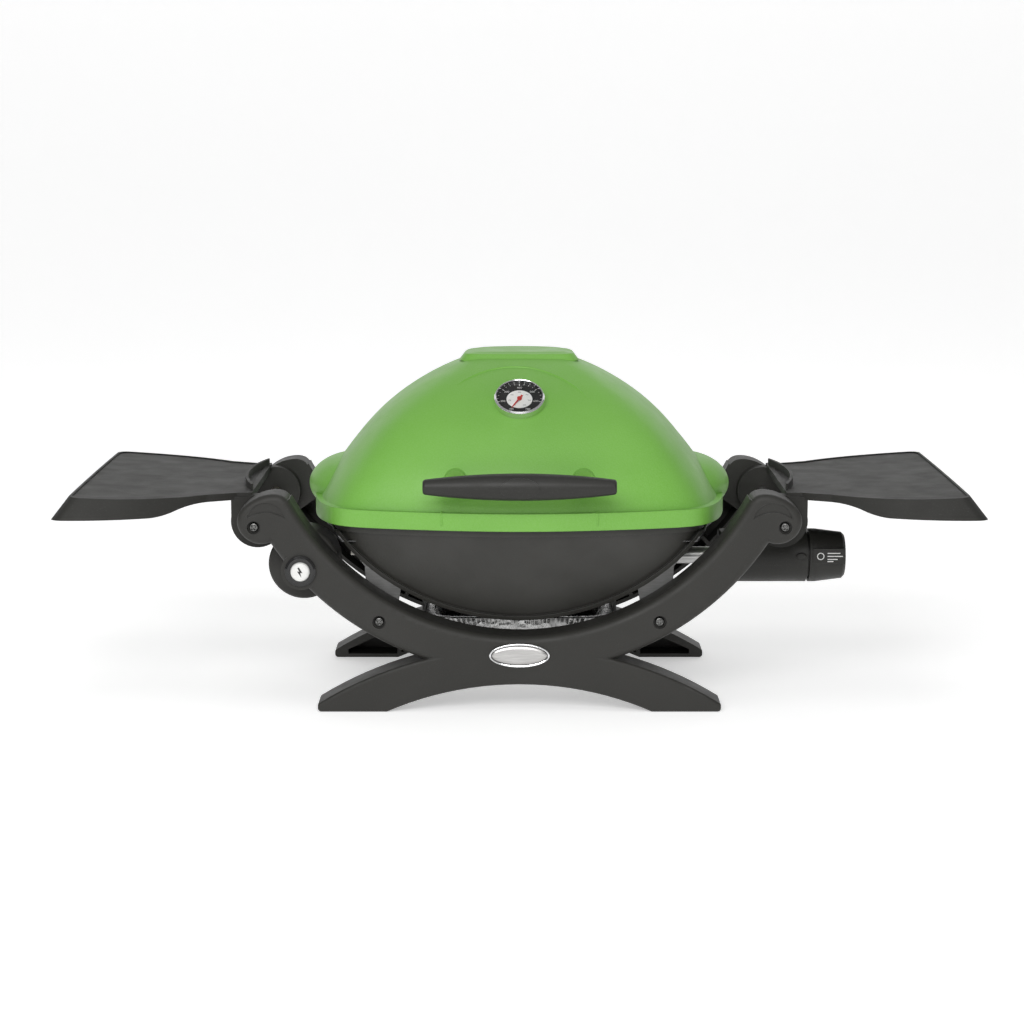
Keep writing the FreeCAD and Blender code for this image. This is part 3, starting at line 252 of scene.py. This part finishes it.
def brushed(name, colour, roughness=0.30, stretch=(1, 30, 30), tint=None):
    """Metal drawn along one axis, with streaks, smudges and an optional heat tint."""
    material, tree, shader = start_material(name)
    streaks = noise(tree, 60, 4, stretch)
    base = blend_colour(tree, remap(tree, streaks, 0.3, 0.7), darker(colour, 0.25), colour)
    if tint:
        base = blend_colour(tree, remap(tree, noise(tree, 8, 3), 0.45, 0.75, 0, 0.7), base, tint)
    tree.links.new(base, shader.inputs["Base Color"])
    shader.inputs["Metallic"].default_value = 1.0
    smudge = remap(tree, noise(tree, 30, 5), 0.3, 0.7, roughness - 0.07, roughness + 0.10)
    tree.links.new(smudge, shader.inputs["Roughness"])
    relief(tree, shader, [(streaks, 0.00008)], 0.0005)
    return material


def polished(name, colour, roughness=0.10):
    """Plated metal: bright, with faint smudges and fine pits."""
    material, tree, shader = start_material(name)
    smudge = noise(tree, 45, 5)
    tree.links.new(blend_colour(tree, remap(tree, smudge, 0.3, 0.7), darker(colour, 0.12), colour),
                   shader.inputs["Base Color"])
    shader.inputs["Metallic"].default_value = 1.0
    tree.links.new(remap(tree, smudge, 0.35, 0.7, roughness, roughness + 0.12), shader.inputs["Roughness"])
    relief(tree, shader, [(noise(tree, 900, 3), 0.00003)], 0.0004)
    return material


def crumpled_foil():
    """Soft aluminium foil with small dents."""
    material, tree, shader = start_material("foil")
    clouds = remap(tree, noise(tree, 60, 4), 0.3, 0.7)
    base = blend_colour(tree, clouds, darker(ALUMINIUM, 0.22), ALUMINIUM)
    tree.links.new(base, shader.inputs["Base Color"])
    shader.inputs["Metallic"].default_value = 1.0
    tree.links.new(remap(tree, noise(tree, 90, 4), 0.3, 0.7, 0.16, 0.36), shader.inputs["Roughness"])
    relief(tree, shader, [(cells(tree, 110), 0.0005), (noise(tree, 240, 3), 0.0003)], 0.0003)
    return material


def glossy(name, colour, roughness=0.14, grain=0.00003):
    """Hard smooth plastic or enamel with faint finger marks."""
    material, tree, shader = start_material(name)
    marks = noise(tree, 70, 5)
    tree.links.new(blend_colour(tree, remap(tree, marks, 0.3, 0.7), darker(colour, 0.08), colour),
                   shader.inputs["Base Color"])
    tree.links.new(remap(tree, marks, 0.35, 0.75, roughness, roughness + 0.10), shader.inputs["Roughness"])
    relief(tree, shader, [(noise(tree, 800, 3), grain)], 0.0004)
    return material


def dial_glass():
    """Clear cover glass with faint dust in its roughness."""
    material, tree, shader = start_material("clear_glass")
    shader.inputs["Transmission Weight"].default_value = 1.0
    shader.inputs["IOR"].default_value = 1.05
    dust = noise(tree, 600, 4)
    tree.links.new(remap(tree, dust, 0.5, 0.8, 0.0, 0.06), shader.inputs["Roughness"])
    tree.links.new(blend_colour(tree, remap(tree, dust, 0.4, 0.8), (0.98, 0.98, 0.98), (0.93, 0.94, 0.93)),
                   shader.inputs["Base Color"])
    relief(tree, shader, [(noise(tree, 200, 2), 0.00001)], 0.0003)
    return material


MATERIALS = {
    "moulded_frame": moulded("moulded_frame", MOULDED_BLACK),
    "moulded_table": moulded("moulded_table", TABLE_GREY, 0.58, 0.00012, gloss=0.24, ripple=0.00006),
    "lid_enamel": cast_enamel(),
    "cast_box": cast_paint(),
    "black_nylon": moulded("black_nylon", NYLON_BLACK, 0.46, 0.00006),
    "cast_iron": cast_iron(),
    "stainless": brushed("stainless", STEEL, tint=HEAT_TINT),
    "plated_screw": polished("plated_screw", PLATED, 0.20),
    "satin_badge": brushed("satin_badge", SATIN_SILVER, 0.34, (1, 1, 24)),
    "chrome_ring": polished("chrome_ring", CHROME, 0.06),
    "dial_face": glossy("dial_face", DIAL_BLACK, 0.30),
    "clear_glass": dial_glass(),
    "red_needle": glossy("red_needle", NEEDLE_RED, 0.34),
    "bracket_steel": brushed("bracket_steel", darker(STEEL, 0.55), 0.42, (1, 1, 18)),
    "foil": crumpled_foil(),
    "brass_valve": polished("brass_valve", BRASS, 0.22),
    "grey_regulator": polished("grey_regulator", ZINC_GREY, 0.38),
    "white_button": glossy("white_button", BUTTON_WHITE, 0.24),
    "ceramic": glossy("ceramic", PORCELAIN, 0.18),
}
PRINT = glossy("printed_white", PRINT_WHITE, 0.45)
DARK_PRINT = glossy("printed_black", GLOSS_BLACK, 0.40)
GLOSS = glossy("gloss_black", GLOSS_BLACK, 0.10)


# ------------------------------------------------------------ piece building

def finish_piece(mesh_data, name, body, material, smooth=True):
    """Turn a bmesh into a shown piece that rides on a body."""
    mesh = bpy.data.meshes.new(name)
    mesh_data.to_mesh(mesh)
    mesh_data.free()
    for face in mesh.polygons:
        face.use_smooth = smooth
    piece = bpy.data.objects.new(name, mesh)
    bpy.context.scene.collection.objects.link(piece)
    mesh.materials.append(material)
    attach(piece, body)
    return piece


def stand_on(origin, axis, up=UP):
    """A matrix whose Z runs along axis and whose Y is as near to up as it can be."""
    forward = Vector(axis).normalized()
    side = Vector(up).cross(forward).normalized()
    top = forward.cross(side)
    turn = Matrix((side, top, forward)).transposed()
    return Matrix.Translation(origin) @ turn.to_4x4()


def join_loops(shape, near, far):
    """Add the faces between two closed loops of as many points each."""
    for here in range(len(near)):
        after = (here + 1) % len(near)
        shape.faces.new((near[here], far[here], far[after], near[after]))


def join_rows(shape, rows):
    """Add the faces between open rows of points, each row to the next."""
    for here, after in zip(rows, rows[1:]):
        for side in range(len(here) - 1):
            shape.faces.new((here[side], after[side], after[side + 1], here[side + 1]))


def cap(shape, middle, loop):
    """Close a loop with a fan of faces to one point."""
    for here in range(len(loop)):
        shape.faces.new((middle, loop[here], loop[(here + 1) % len(loop)]))


def plate(shape, outline, thick):
    """Add a flat plate of this (x, y) outline to a bmesh, from z 0 up to thick."""
    low = [shape.verts.new((x, y, 0)) for x, y in outline]
    high = [shape.verts.new((x, y, thick)) for x, y in outline]
    shape.faces.new(list(reversed(low)))
    shape.faces.new(high)
    join_loops(shape, high, low)


def bar(shape, start, end, middle, half, thick):
    """Add a flat bar along x to a bmesh, from start to end about y = middle."""
    low, high = middle - half, middle + half
    plate(shape, [(start, low), (end, low), (end, high), (start, high)], thick)


def ring(shape, inner, outer, thick, steps=96):
    """Add a flat round ring to a bmesh, from z 0 up to thick."""
    section = ((inner, 0), (outer, 0), (outer, thick), (inner, thick))
    rows = []
    for index in range(steps):
        angle = math.tau * index / steps
        rows.append([shape.verts.new((radius * math.cos(angle), radius * math.sin(angle), z))
                     for radius, z in section])
    for here, after in zip(rows, rows[1:] + rows[:1]):
        join_loops(shape, here, after)


def lathe(shape, profile, steps=64, half_x=0.0, half_y=0.0):
    """Add a turned solid from (radius, height) points, the first and last of them on the axis.

    half_x and half_y are added to the radius along x and y, which makes the solid oval.
    """
    angles = [math.tau * index / steps for index in range(steps)]
    loops = []
    for radius, height in profile[1:-1]:
        wide, deep = radius + half_x, radius + half_y
        loops.append([shape.verts.new((wide * math.cos(angle), deep * math.sin(angle), height))
                      for angle in angles])
    first = shape.verts.new((0, 0, profile[0][1]))
    last = shape.verts.new((0, 0, profile[-1][1]))
    cap(shape, first, loops[0][::-1])
    for low, high in zip(loops, loops[1:]):
        join_loops(shape, high, low)
    cap(shape, last, loops[-1])


def merge(target, part):
    """Move one bmesh's geometry into another."""
    mesh = bpy.data.meshes.new("part")
    part.to_mesh(mesh)
    part.free()
    target.from_mesh(mesh)
    bpy.data.meshes.remove(mesh)


def skin_of(node):
    """A CAD node's surface, ready for rays to be cast at it."""
    shape = bmesh.new()
    shape.from_mesh(NODES[node].data)
    tree = BVHTree.FromBMesh(shape)
    shape.free()
    return tree


def solid_centres(node):
    """The centre of each separate solid in a CAD node."""
    shape = bmesh.new()
    shape.from_mesh(NODES[node].data)
    bmesh.ops.remove_doubles(shape, verts=shape.verts, dist=0.01 * MM)
    unseen = set(shape.verts)
    centres = []
    while unseen:
        front, found = [unseen.pop()], []
        while front:
            vertex = front.pop()
            found.append(vertex.co.copy())
            for edge in vertex.link_edges:
                other = edge.other_vert(vertex)
                if other in unseen:
                    unseen.remove(other)
                    front.append(other)
        low = Vector(map(min, zip(*found)))
        high = Vector(map(max, zip(*found)))
        centres.append((low + high) / 2)
    shape.free()
    return sorted(centres, key=lambda spot: (round(spot.y, 3), round(spot.x, 3), spot.z))


def text_on(shape, words, size, place):
    """Add flat raised characters to a bmesh, centred on a matrix's origin."""
    curve = bpy.data.curves.new("numeral", "FONT")
    curve.body = words
    curve.size = size
    curve.extrude = 0.00004
    curve.align_x = "CENTER"
    curve.align_y = "CENTER"
    holder = bpy.data.objects.new("numeral", curve)
    mesh = bpy.data.meshes.new_from_object(holder)
    mesh.transform(place)
    shape.from_mesh(mesh)
    bpy.data.objects.remove(holder)
    bpy.data.meshes.remove(mesh)


# -------------------------------------------------------------- thermometer

DIAL_FACE = 0.52 * MM
PRINT_THICK = 0.08 * MM
NUMERAL_HEIGHT = DIAL_FACE + 0.1 * MM
DIAL_START = math.radians(240)
DIAL_SWEEP = math.radians(300)
DIAL_INTERVALS = 24


def dial_frame():
    """The dial's own coordinates: Z out of its face, Y towards its top."""
    low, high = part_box("thermometer_dial")
    return stand_on((low + high) / 2, JOINTS["needle_turn"]["axis"])


def dial_angle(share):
    """The angle at this share of the way round the scale."""
    return DIAL_START - DIAL_SWEEP * share


def make_dial_centre(place, radius):
    """The white disc in the middle of the dial."""
    disc = bmesh.new()
    top = DIAL_FACE + PRINT_THICK
    lathe(disc, [(0, DIAL_FACE), (radius, DIAL_FACE), (radius, top), (0, top)], 72)
    disc.transform(place)
    finish_piece(disc, "dial_centre", "lid", PRINT, smooth=False)


def make_dial_ticks(place, radius):
    """A tick for each interval of the scale, every fourth one longer."""
    ticks = bmesh.new()
    for index in range(DIAL_INTERVALS + 1):
        near, half = (radius * 0.86, 0.42 * MM) if index % 4 == 0 else (radius * 0.91, 0.24 * MM)
        mark = bmesh.new()
        bar(mark, near, radius * 0.965, 0, half, PRINT_THICK)
        turn = Matrix.Rotation(dial_angle(index / DIAL_INTERVALS), 4, "Z")
        mark.transform(place @ Matrix.Translation((0, 0, DIAL_FACE)) @ turn)
        merge(ticks, mark)
    finish_piece(ticks, "dial_ticks", "lid", PRINT, smooth=False)


def make_dial_numerals(name, place, reach, size, step, material):
    """Seven numbers, spaced by step, round the scale at this reach from the centre."""
    words = bmesh.new()
    for index in range(7):
        angle = dial_angle(index / 6)
        spot = Vector((math.cos(angle) * reach, math.sin(angle) * reach, NUMERAL_HEIGHT))
        text_on(words, str(step + step * index), size, place @ Matrix.Translation(spot))
    finish_piece(words, name, "lid", material, smooth=False)


def make_dial_print():
    """White centre disc, tick marks and two rings of numerals on the black dial."""
    place = dial_frame()
    low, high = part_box("thermometer_dial")
    radius = (high.x - low.x) / 2
    make_dial_centre(place, radius * 0.56)
    make_dial_ticks(place, radius)
    make_dial_numerals("dial_numerals_outer", place, radius * 0.72, 3.9 * MM, 100, PRINT)
    make_dial_numerals("dial_numerals_inner", place, radius * 0.43, 2.3 * MM, 50, DARK_PRINT)


# ------------------------------------------------------------- frame details

def screw_head(radius, high):
    """A pan-head screw with a cross recess, standing on z 0."""
    shape = bmesh.new()
    loops, steps = 22, 72
    arm_half, arm_long, recess = radius * 0.17, radius * 0.62, high * 0.62

    def height(x, y, distance):
        """The domed head's height here, less the cross where it runs."""
        dome = high * math.sqrt(max(0.0, 1 - (distance / radius) ** 5))
        across, along = sorted((abs(x), abs(y)))
        inside = min(1.0, max(0.0, (arm_half - across) / (radius * 0.06) + 0.5))
        inside *= min(1.0, max(0.0, (arm_long - along) / (radius * 0.08) + 0.5))
        return dome - recess * inside

    rows = []
    for row in range(1, loops + 1):
        distance = radius * row / loops
        loop = []
        for step in range(steps):
            angle = math.tau * step / steps
            x, y = distance * math.cos(angle), distance * math.sin(angle)
            loop.append(shape.verts.new((x, y, height(x, y, distance))))
        rows.append(loop)
    cap(shape, shape.verts.new((0, 0, high - recess)), rows[0])
    for near, far in zip(rows, rows[1:]):
        join_loops(shape, near, far)
    return shape


def make_screws():
    """Cross-recess heads in the frames' screw recesses, standing for the plain CAD heads."""
    head_radius, head_high, seat_depth = 5.6 * MM, 3.4 * MM, 3.6 * MM
    low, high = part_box("frame_screws")
    heads = bmesh.new()
    for spot in solid_centres("frame_screws"):
        side, outer = (-1, low.y) if spot.y < 0 else (1, high.y)
        seat = Vector((spot.x, outer - side * seat_depth, spot.z))
        twist = Matrix.Rotation(random.uniform(0, math.pi / 2), 4, "Z")
        head = screw_head(head_radius, head_high)
        head.transform(stand_on(seat, (0, side, 0)) @ twist)
        merge(heads, head)
    piece = finish_piece(heads, "cross_screws", "base", MATERIALS["plated_screw"])
    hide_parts("frame_screws")


def make_badge():
    """An oval badge: polished border, dark groove and a brushed, slightly domed field."""
    low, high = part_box("front_badge")
    half_x, half_z = (high.x - low.x) / 2, (high.z - low.z) / 2
    thick = high.y - low.y
    place = stand_on(Vector(((low.x + high.x) / 2, high.y, (low.z + high.z) / 2)), (0, -1, 0))

    def layer(name, profile, material, smooth=True):
        """One oval layer; its profile gives mm in from the edge and shares of the thickness."""
        shape = bmesh.new()
        points = [(-inset * MM, share * thick) for inset, share in profile]
        lathe(shape, points, 128, half_x, half_z)
        shape.transform(place)
        return finish_piece(shape, name, "base", material, smooth)

    border = [(0, 0), (0, 0), (0, 0.6), (0.8, 1), (1.8, 1), (2.6, 0.55), (0, 0.55)]
    groove = [(0, 0.5), (2.5, 0.5), (2.5, 0.62), (0, 0.62)]
    field = [(0, 0.6), (3.4, 0.6), (3.6, 0.74), (8, 0.84), (0, 0.9)]
    piece = layer("badge_border", border, MATERIALS["chrome_ring"])
    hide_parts("front_badge")
    layer("badge_groove", groove, DARK_PRINT, smooth=False)
    layer("badge_field", field, MATERIALS["satin_badge"])


# ----------------------------------------------------------- controls' marks

def make_igniter_symbol():
    """A small spark symbol on the igniter's white cap."""
    low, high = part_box("igniter_button")
    spot = Vector(((low.x + high.x) / 2, low.y, (low.z + high.z) / 2))
    outline = [(0.9, 5.6), (-3.0, -0.7), (-0.5, -0.5), (-1.6, -5.8), (3.0, 1.2), (0.5, 0.9), (2.6, 5.2)]
    symbol = bmesh.new()
    plate(symbol, [(-x * MM, y * MM) for x, y in outline], 0.12 * MM)
    symbol.transform(stand_on(spot, (0, -1, 0)))
    finish_piece(symbol, "spark_symbol", "igniter_plunger", DARK_PRINT, smooth=False)


def control_height(node):
    """The height at which a control's marks are centred, a little above its own middle."""
    low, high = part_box(node)
    return (low.z + high.z) / 2 + 4 * MM


def make_knob_marks():
    """White setting marks on the knob's flat facet: a ring and a fan of bars."""
    low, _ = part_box("control_knob")
    start = Vector((low.x + 3 * MM, low.y, control_height("control_knob")))
    thin, half_bar, bars_start = 0.14 * MM, 0.55 * MM, 17 * MM
    marks = bmesh.new()
    circle = bmesh.new()
    ring(circle, 3.3 * MM, 4.3 * MM, thin, 48)
    circle.transform(Matrix.Translation((9 * MM, 0, 0)))
    merge(marks, circle)
    for height, length in ((3.6, 15), (0, 18), (-3.6, 12), (-6.2, 7)):
        bar(marks, bars_start, bars_start + length * MM, height * MM, half_bar, thin)
    marks.transform(stand_on(start, (0, -1, 0)))
    finish_piece(marks, "knob_marks", "knob", PRINT, smooth=False)


def make_housing_pointer():
    """A raised oval on the housing's end that the knob's marks turn past."""
    behind_knob, half_x, half_z = 10.5 * MM, 6.5 * MM, 4.2 * MM
    spot = Vector((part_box("control_knob")[0].x - behind_knob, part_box("valve_housing")[0].y,
                   control_height("valve_housing")))
    profile = [(0, -1.5), (0, -1.5), (-0.3, 0.6), (-1.4, 1.2), (0, 1.3)]
    bead = bmesh.new()
    lathe(bead, [(radius * MM, height * MM) for radius, height in profile], 48, half_x, half_z)
    bead.transform(stand_on(spot, (0, -1, 0)))
    finish_piece(bead, "housing_pointer", "base", MATERIALS["black_nylon"])


# ---------------------------------------------------------------- lid relief

RIDGE = ((-1.0, -0.4), (-0.55, 0.7), (0, 1.0), (0.55, 0.7), (1.0, -0.4))
RIB = ((-1.4, -0.5), (-0.7, 1.0), (0, 1.3), (0.7, 1.0), (1.4, -0.5))


def make_lid_arc():
    """The raised arc in front of the lid's crown, fading out at both ends."""
    skin = skin_of("lid")
    steps, half, proud = 60, 2.0 * MM, 1.5 * MM
    left, length, front, bow, slant = -72 * MM, 150 * MM, -30 * MM, 40 * MM, 20 * MM
    above, down = 1.0, Vector((0, 0, -1))
    ridge = bmesh.new()
    rows = []
    for index in range(steps + 1):
        share = index / steps
        x = left + length * share
        y = front - bow * (2 * share - 1) ** 2 - slant * share
        fade = min(1.0, 6 * share, 6 * (1 - share)) ** 0.5
        row = []
        for across, lift in RIDGE:
            start = Vector((x, y + across * half * (0.4 + 0.6 * fade), above))
            spot, normal, _, _ = skin.ray_cast(start, down)
            row.append(ridge.verts.new(spot + normal * lift * proud * fade))
        rows.append(row)
    join_rows(ridge, rows)
    finish_piece(ridge, "lid_arc", "lid", MATERIALS["lid_enamel"])


def make_lid_ribs():
    """Two short upright ribs on the lid's front, under its handle."""
    skin = skin_of("lid")
    steps, rib_x, rib_high = 12, 86.5 * MM, 15 * MM
    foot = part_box("lid")[0].z + 17 * MM
    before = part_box("lid_handle")[0].y - 0.2
    ribs = bmesh.new()
    for side in (-1, 1):
        rows = []
        for index in range(steps + 1):
            share = index / steps
            row = []
            for across, lift in RIB:
                start = Vector((side * rib_x - across * MM, before, foot + rib_high * share))
                spot, normal, _, _ = skin.ray_cast(start, Vector((0, 1, 0)))
                row.append(ribs.verts.new(spot + normal * lift * (1 - 0.6 * share) * MM))
            rows.append(row)
        join_rows(ribs, rows)
    finish_piece(ribs, "lid_ribs", "lid", MATERIALS["lid_enamel"])


# -------------------------------------------------------------- cookbox bead

def make_cookbox_bead():
    """A glossy bead round the curved edge of the cookbox's front and rear faces."""
    skin = skin_of("cookbox")
    trough_radius, outside, thick = 256.6 * MM, 1.4 * MM, 2.3 * MM
    steps, corners, widest = 96, 12, math.asin(0.86)
    reach = trough_radius + outside
    centre = Vector((0, 0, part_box("cookbox")[0].z + trough_radius))
    section = [math.tau * corner / corners for corner in range(corners)]
    beads = bmesh.new()
    for side in (-1, 1):
        loops = []
        for index in range(steps + 1):
            angle = widest * (2 * index / steps - 1)
            outward = Vector((math.sin(angle), 0, -math.cos(angle)))
            start = centre + outward * reach + Vector((0, side, 0))
            spot = skin.ray_cast(start, Vector((0, -side, 0)))[0]
            if spot is None:
                continue
            forward = Vector((0, side, 0))
            ways = [outward * math.cos(turn) + forward * math.sin(turn) for turn in section]
            loops.append([beads.verts.new(spot + way * thick) for way in ways])
        for here, after in zip(loops, loops[1:]):
            join_loops(beads, after, here)
        beads.faces.new(loops[0])
        beads.faces.new(reversed(loops[-1]))
    bmesh.ops.recalc_face_normals(beads, faces=beads.faces)
    finish_piece(beads, "cookbox_bead", "base", GLOSS)


# ------------------------------------------------------------- foil catch pan

def rounded_square(steps):
    """Points round a square of half-width 1 with rounded corners."""
    power = 7
    points = []
    for index in range(steps):
        angle = math.tau * index / steps
        x, y = math.cos(angle), math.sin(angle)
        reach = (abs(x) ** power + abs(y) ** power) ** (-1 / power)
        points.append((x * reach, y * reach))
    return points


def make_foil_pan():
    """A pressed foil tray: pleated walls, a floor creased near its edge and a rolled rim."""
    rim_wide, sheet, pleat_deep, pleat_steps = 9 * MM, 0.25 * MM, 1.3 * MM, 4
    low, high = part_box("catch_pan")
    half_x, half_y = (high.x - low.x) / 2 - rim_wide, (high.y - low.y) / 2 - rim_wide
    top, bottom = high.z - 0.8 * MM, low.z + 0.4 * MM
    steps, walls = 560, 9

    floor = [(0.35, bottom, 0.0), (0.70, bottom, 0.1), (0.90, bottom, 0.4)]
    wall = [(0.92 + 0.08 * share, bottom + (top - bottom) * share, 0.5 + 0.5 * math.sin(math.pi * share))
            for share in (index / walls for index in range(walls + 1))]
    rim = [(3.0, 0.0), (6.5, 0.3), (8.6, 0.0), (8.8, -0.7)]

    chance = random.Random(7)
    pleats = [chance.uniform(0.3, 1.0) for _ in range(steps)]
    outline = rounded_square(steps)
    shape = bmesh.new()
    loops = []
    for share, height, depth in floor + wall:
        loop = []
        for index, (x, y) in enumerate(outline):
            fold = depth * pleat_deep * pleats[index // pleat_steps] * math.sin(math.pi * index / 2)
            loop.append(shape.verts.new((x * (half_x * share - fold), y * (half_y * share - fold), height)))
        loops.append(loop)
    for out, lift in rim:
        loops.append([shape.verts.new((x * (half_x + out * MM), y * (half_y + out * MM), top + lift * MM))
                      for x, y in outline])
    cap(shape, shape.verts.new((0, 0, bottom)), loops[0])
    for near, far in zip(loops, loops[1:]):
        join_loops(shape, near, far)
    shape.transform(Matrix.Translation(((low.x + high.x) / 2, (low.y + high.y) / 2, 0)))

    piece = finish_piece(shape, "foil_pan", "pan", MATERIALS["foil"])
    solidify = piece.modifiers.new("foil_thickness", "SOLIDIFY")
    solidify.thickness = sheet
    solidify.offset = 0.0
    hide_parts("catch_pan")


# ---------------------------------------------------------------- the stage

def floor_material():
    """White paper, lit a little from within so that it stays near white behind the object."""
    material, tree, shader = start_material("studio_floor")
    tint = remap(tree, noise(tree, 0.6, 2), 0.3, 0.7)
    paper = blend_colour(tree, tint, darker(FLOOR_WHITE, 0.01), FLOOR_WHITE)
    tree.links.new(paper, shader.inputs["Base Color"])
    shader.inputs["Roughness"].default_value = 0.85
    shader.inputs["Emission Color"].default_value = (1.0, 1.0, 1.0, 1.0)
    shader.inputs["Emission Strength"].default_value = 0.40
    return material


def make_floor():
    """A pale sheet that sweeps up behind the object."""
    front, back, half, bend, tall, turns = -6.0, 3.0, 8.0, 1.6, 6.0, 16
    profile = [(front, 0.0), (back, 0.0)]
    for index in range(1, turns + 1):
        angle = math.pi / 2 * index / turns
        profile.append((back + bend * math.sin(angle), bend * (1 - math.cos(angle))))
    profile.append((back + bend, tall))
    shape = bmesh.new()
    rows = [(shape.verts.new((-half, y, z)), shape.verts.new((half, y, z))) for y, z in profile]
    for near, far in zip(rows, rows[1:]):
        shape.faces.new((near[0], near[1], far[1], far[0]))
    mesh = bpy.data.meshes.new("floor")
    shape.to_mesh(mesh)
    shape.free()
    for face in mesh.polygons:
        face.use_smooth = True
    floor = bpy.data.objects.new("floor", mesh)
    bpy.context.scene.collection.objects.link(floor)
    mesh.materials.append(floor_material())


def make_light(name, place, target, width, height, power):
    """A soft rectangular lamp at place, facing target."""
    lamp = bpy.data.lights.new(name, "AREA")
    lamp.shape = "RECTANGLE"
    lamp.size, lamp.size_y = width, height
    lamp.energy = power
    holder = bpy.data.objects.new(name, lamp)
    holder.location = place
    holder.rotation_euler = (Vector(target) - Vector(place)).to_track_quat("-Z", "Y").to_euler()
    bpy.context.scene.collection.objects.link(holder)


def make_studio():
    """White surroundings, a broad front key, an overhead panel and a weak back light."""
    world = bpy.data.worlds.new("studio")
    world.use_nodes = True
    background = world.node_tree.nodes["Background"]
    background.inputs["Color"].default_value = (1.0, 1.0, 1.0, 1.0)
    background.inputs["Strength"].default_value = 0.34
    bpy.context.scene.world = world
    make_light("key", (-0.5, -3.0, 1.9), (0, 0, 0.2), 2.6, 1.3, 66)
    make_light("overhead", (0.2, -1.0, 2.8), (0, 0, 0.1), 2.2, 1.4, 10)
    make_light("back", (0.4, 2.6, 2.2), (0, 0, 0.3), 3.0, 1.2, 5)


def make_camera():
    """A long lens in front of the object, a little above it, looking slightly down."""
    lens = bpy.data.cameras.new("camera")
    lens.lens = 85.4
    lens.sensor_width = 36
    lens.clip_end = 50
    holder = bpy.data.objects.new("camera", lens)
    holder.location = (-0.0084, -2.835, 0.680)
    holder.rotation_euler = (math.radians(90 - 9.55), 0, 0)
    bpy.context.scene.collection.objects.link(holder)
    bpy.context.scene.camera = holder


# ------------------------------------------------------------- put together

def paint_frame():
    """Give every CAD node the material of its slot in the record."""
    slots = {part["node"]: part["material_slot"] for part in frame["record"]["subparts"]}
    for name, item in NODES.items():
        material = MATERIALS[slots[name]]
        if not item.material_slots:
            item.data.materials.append(material)
        for held in item.material_slots:
            held.material = material
    NODES["igniter_bezel"].material_slots[0].material = GLOSS


random.seed(11)
paint_frame()
make_dial_print()
make_screws()
make_badge()
make_igniter_symbol()
make_knob_marks()
make_housing_pointer()
make_lid_arc()
make_lid_ribs()
make_cookbox_bead()
make_foil_pan()
make_floor()
make_studio()
make_camera()
bpy.context.scene.view_settings.view_transform = "Standard"
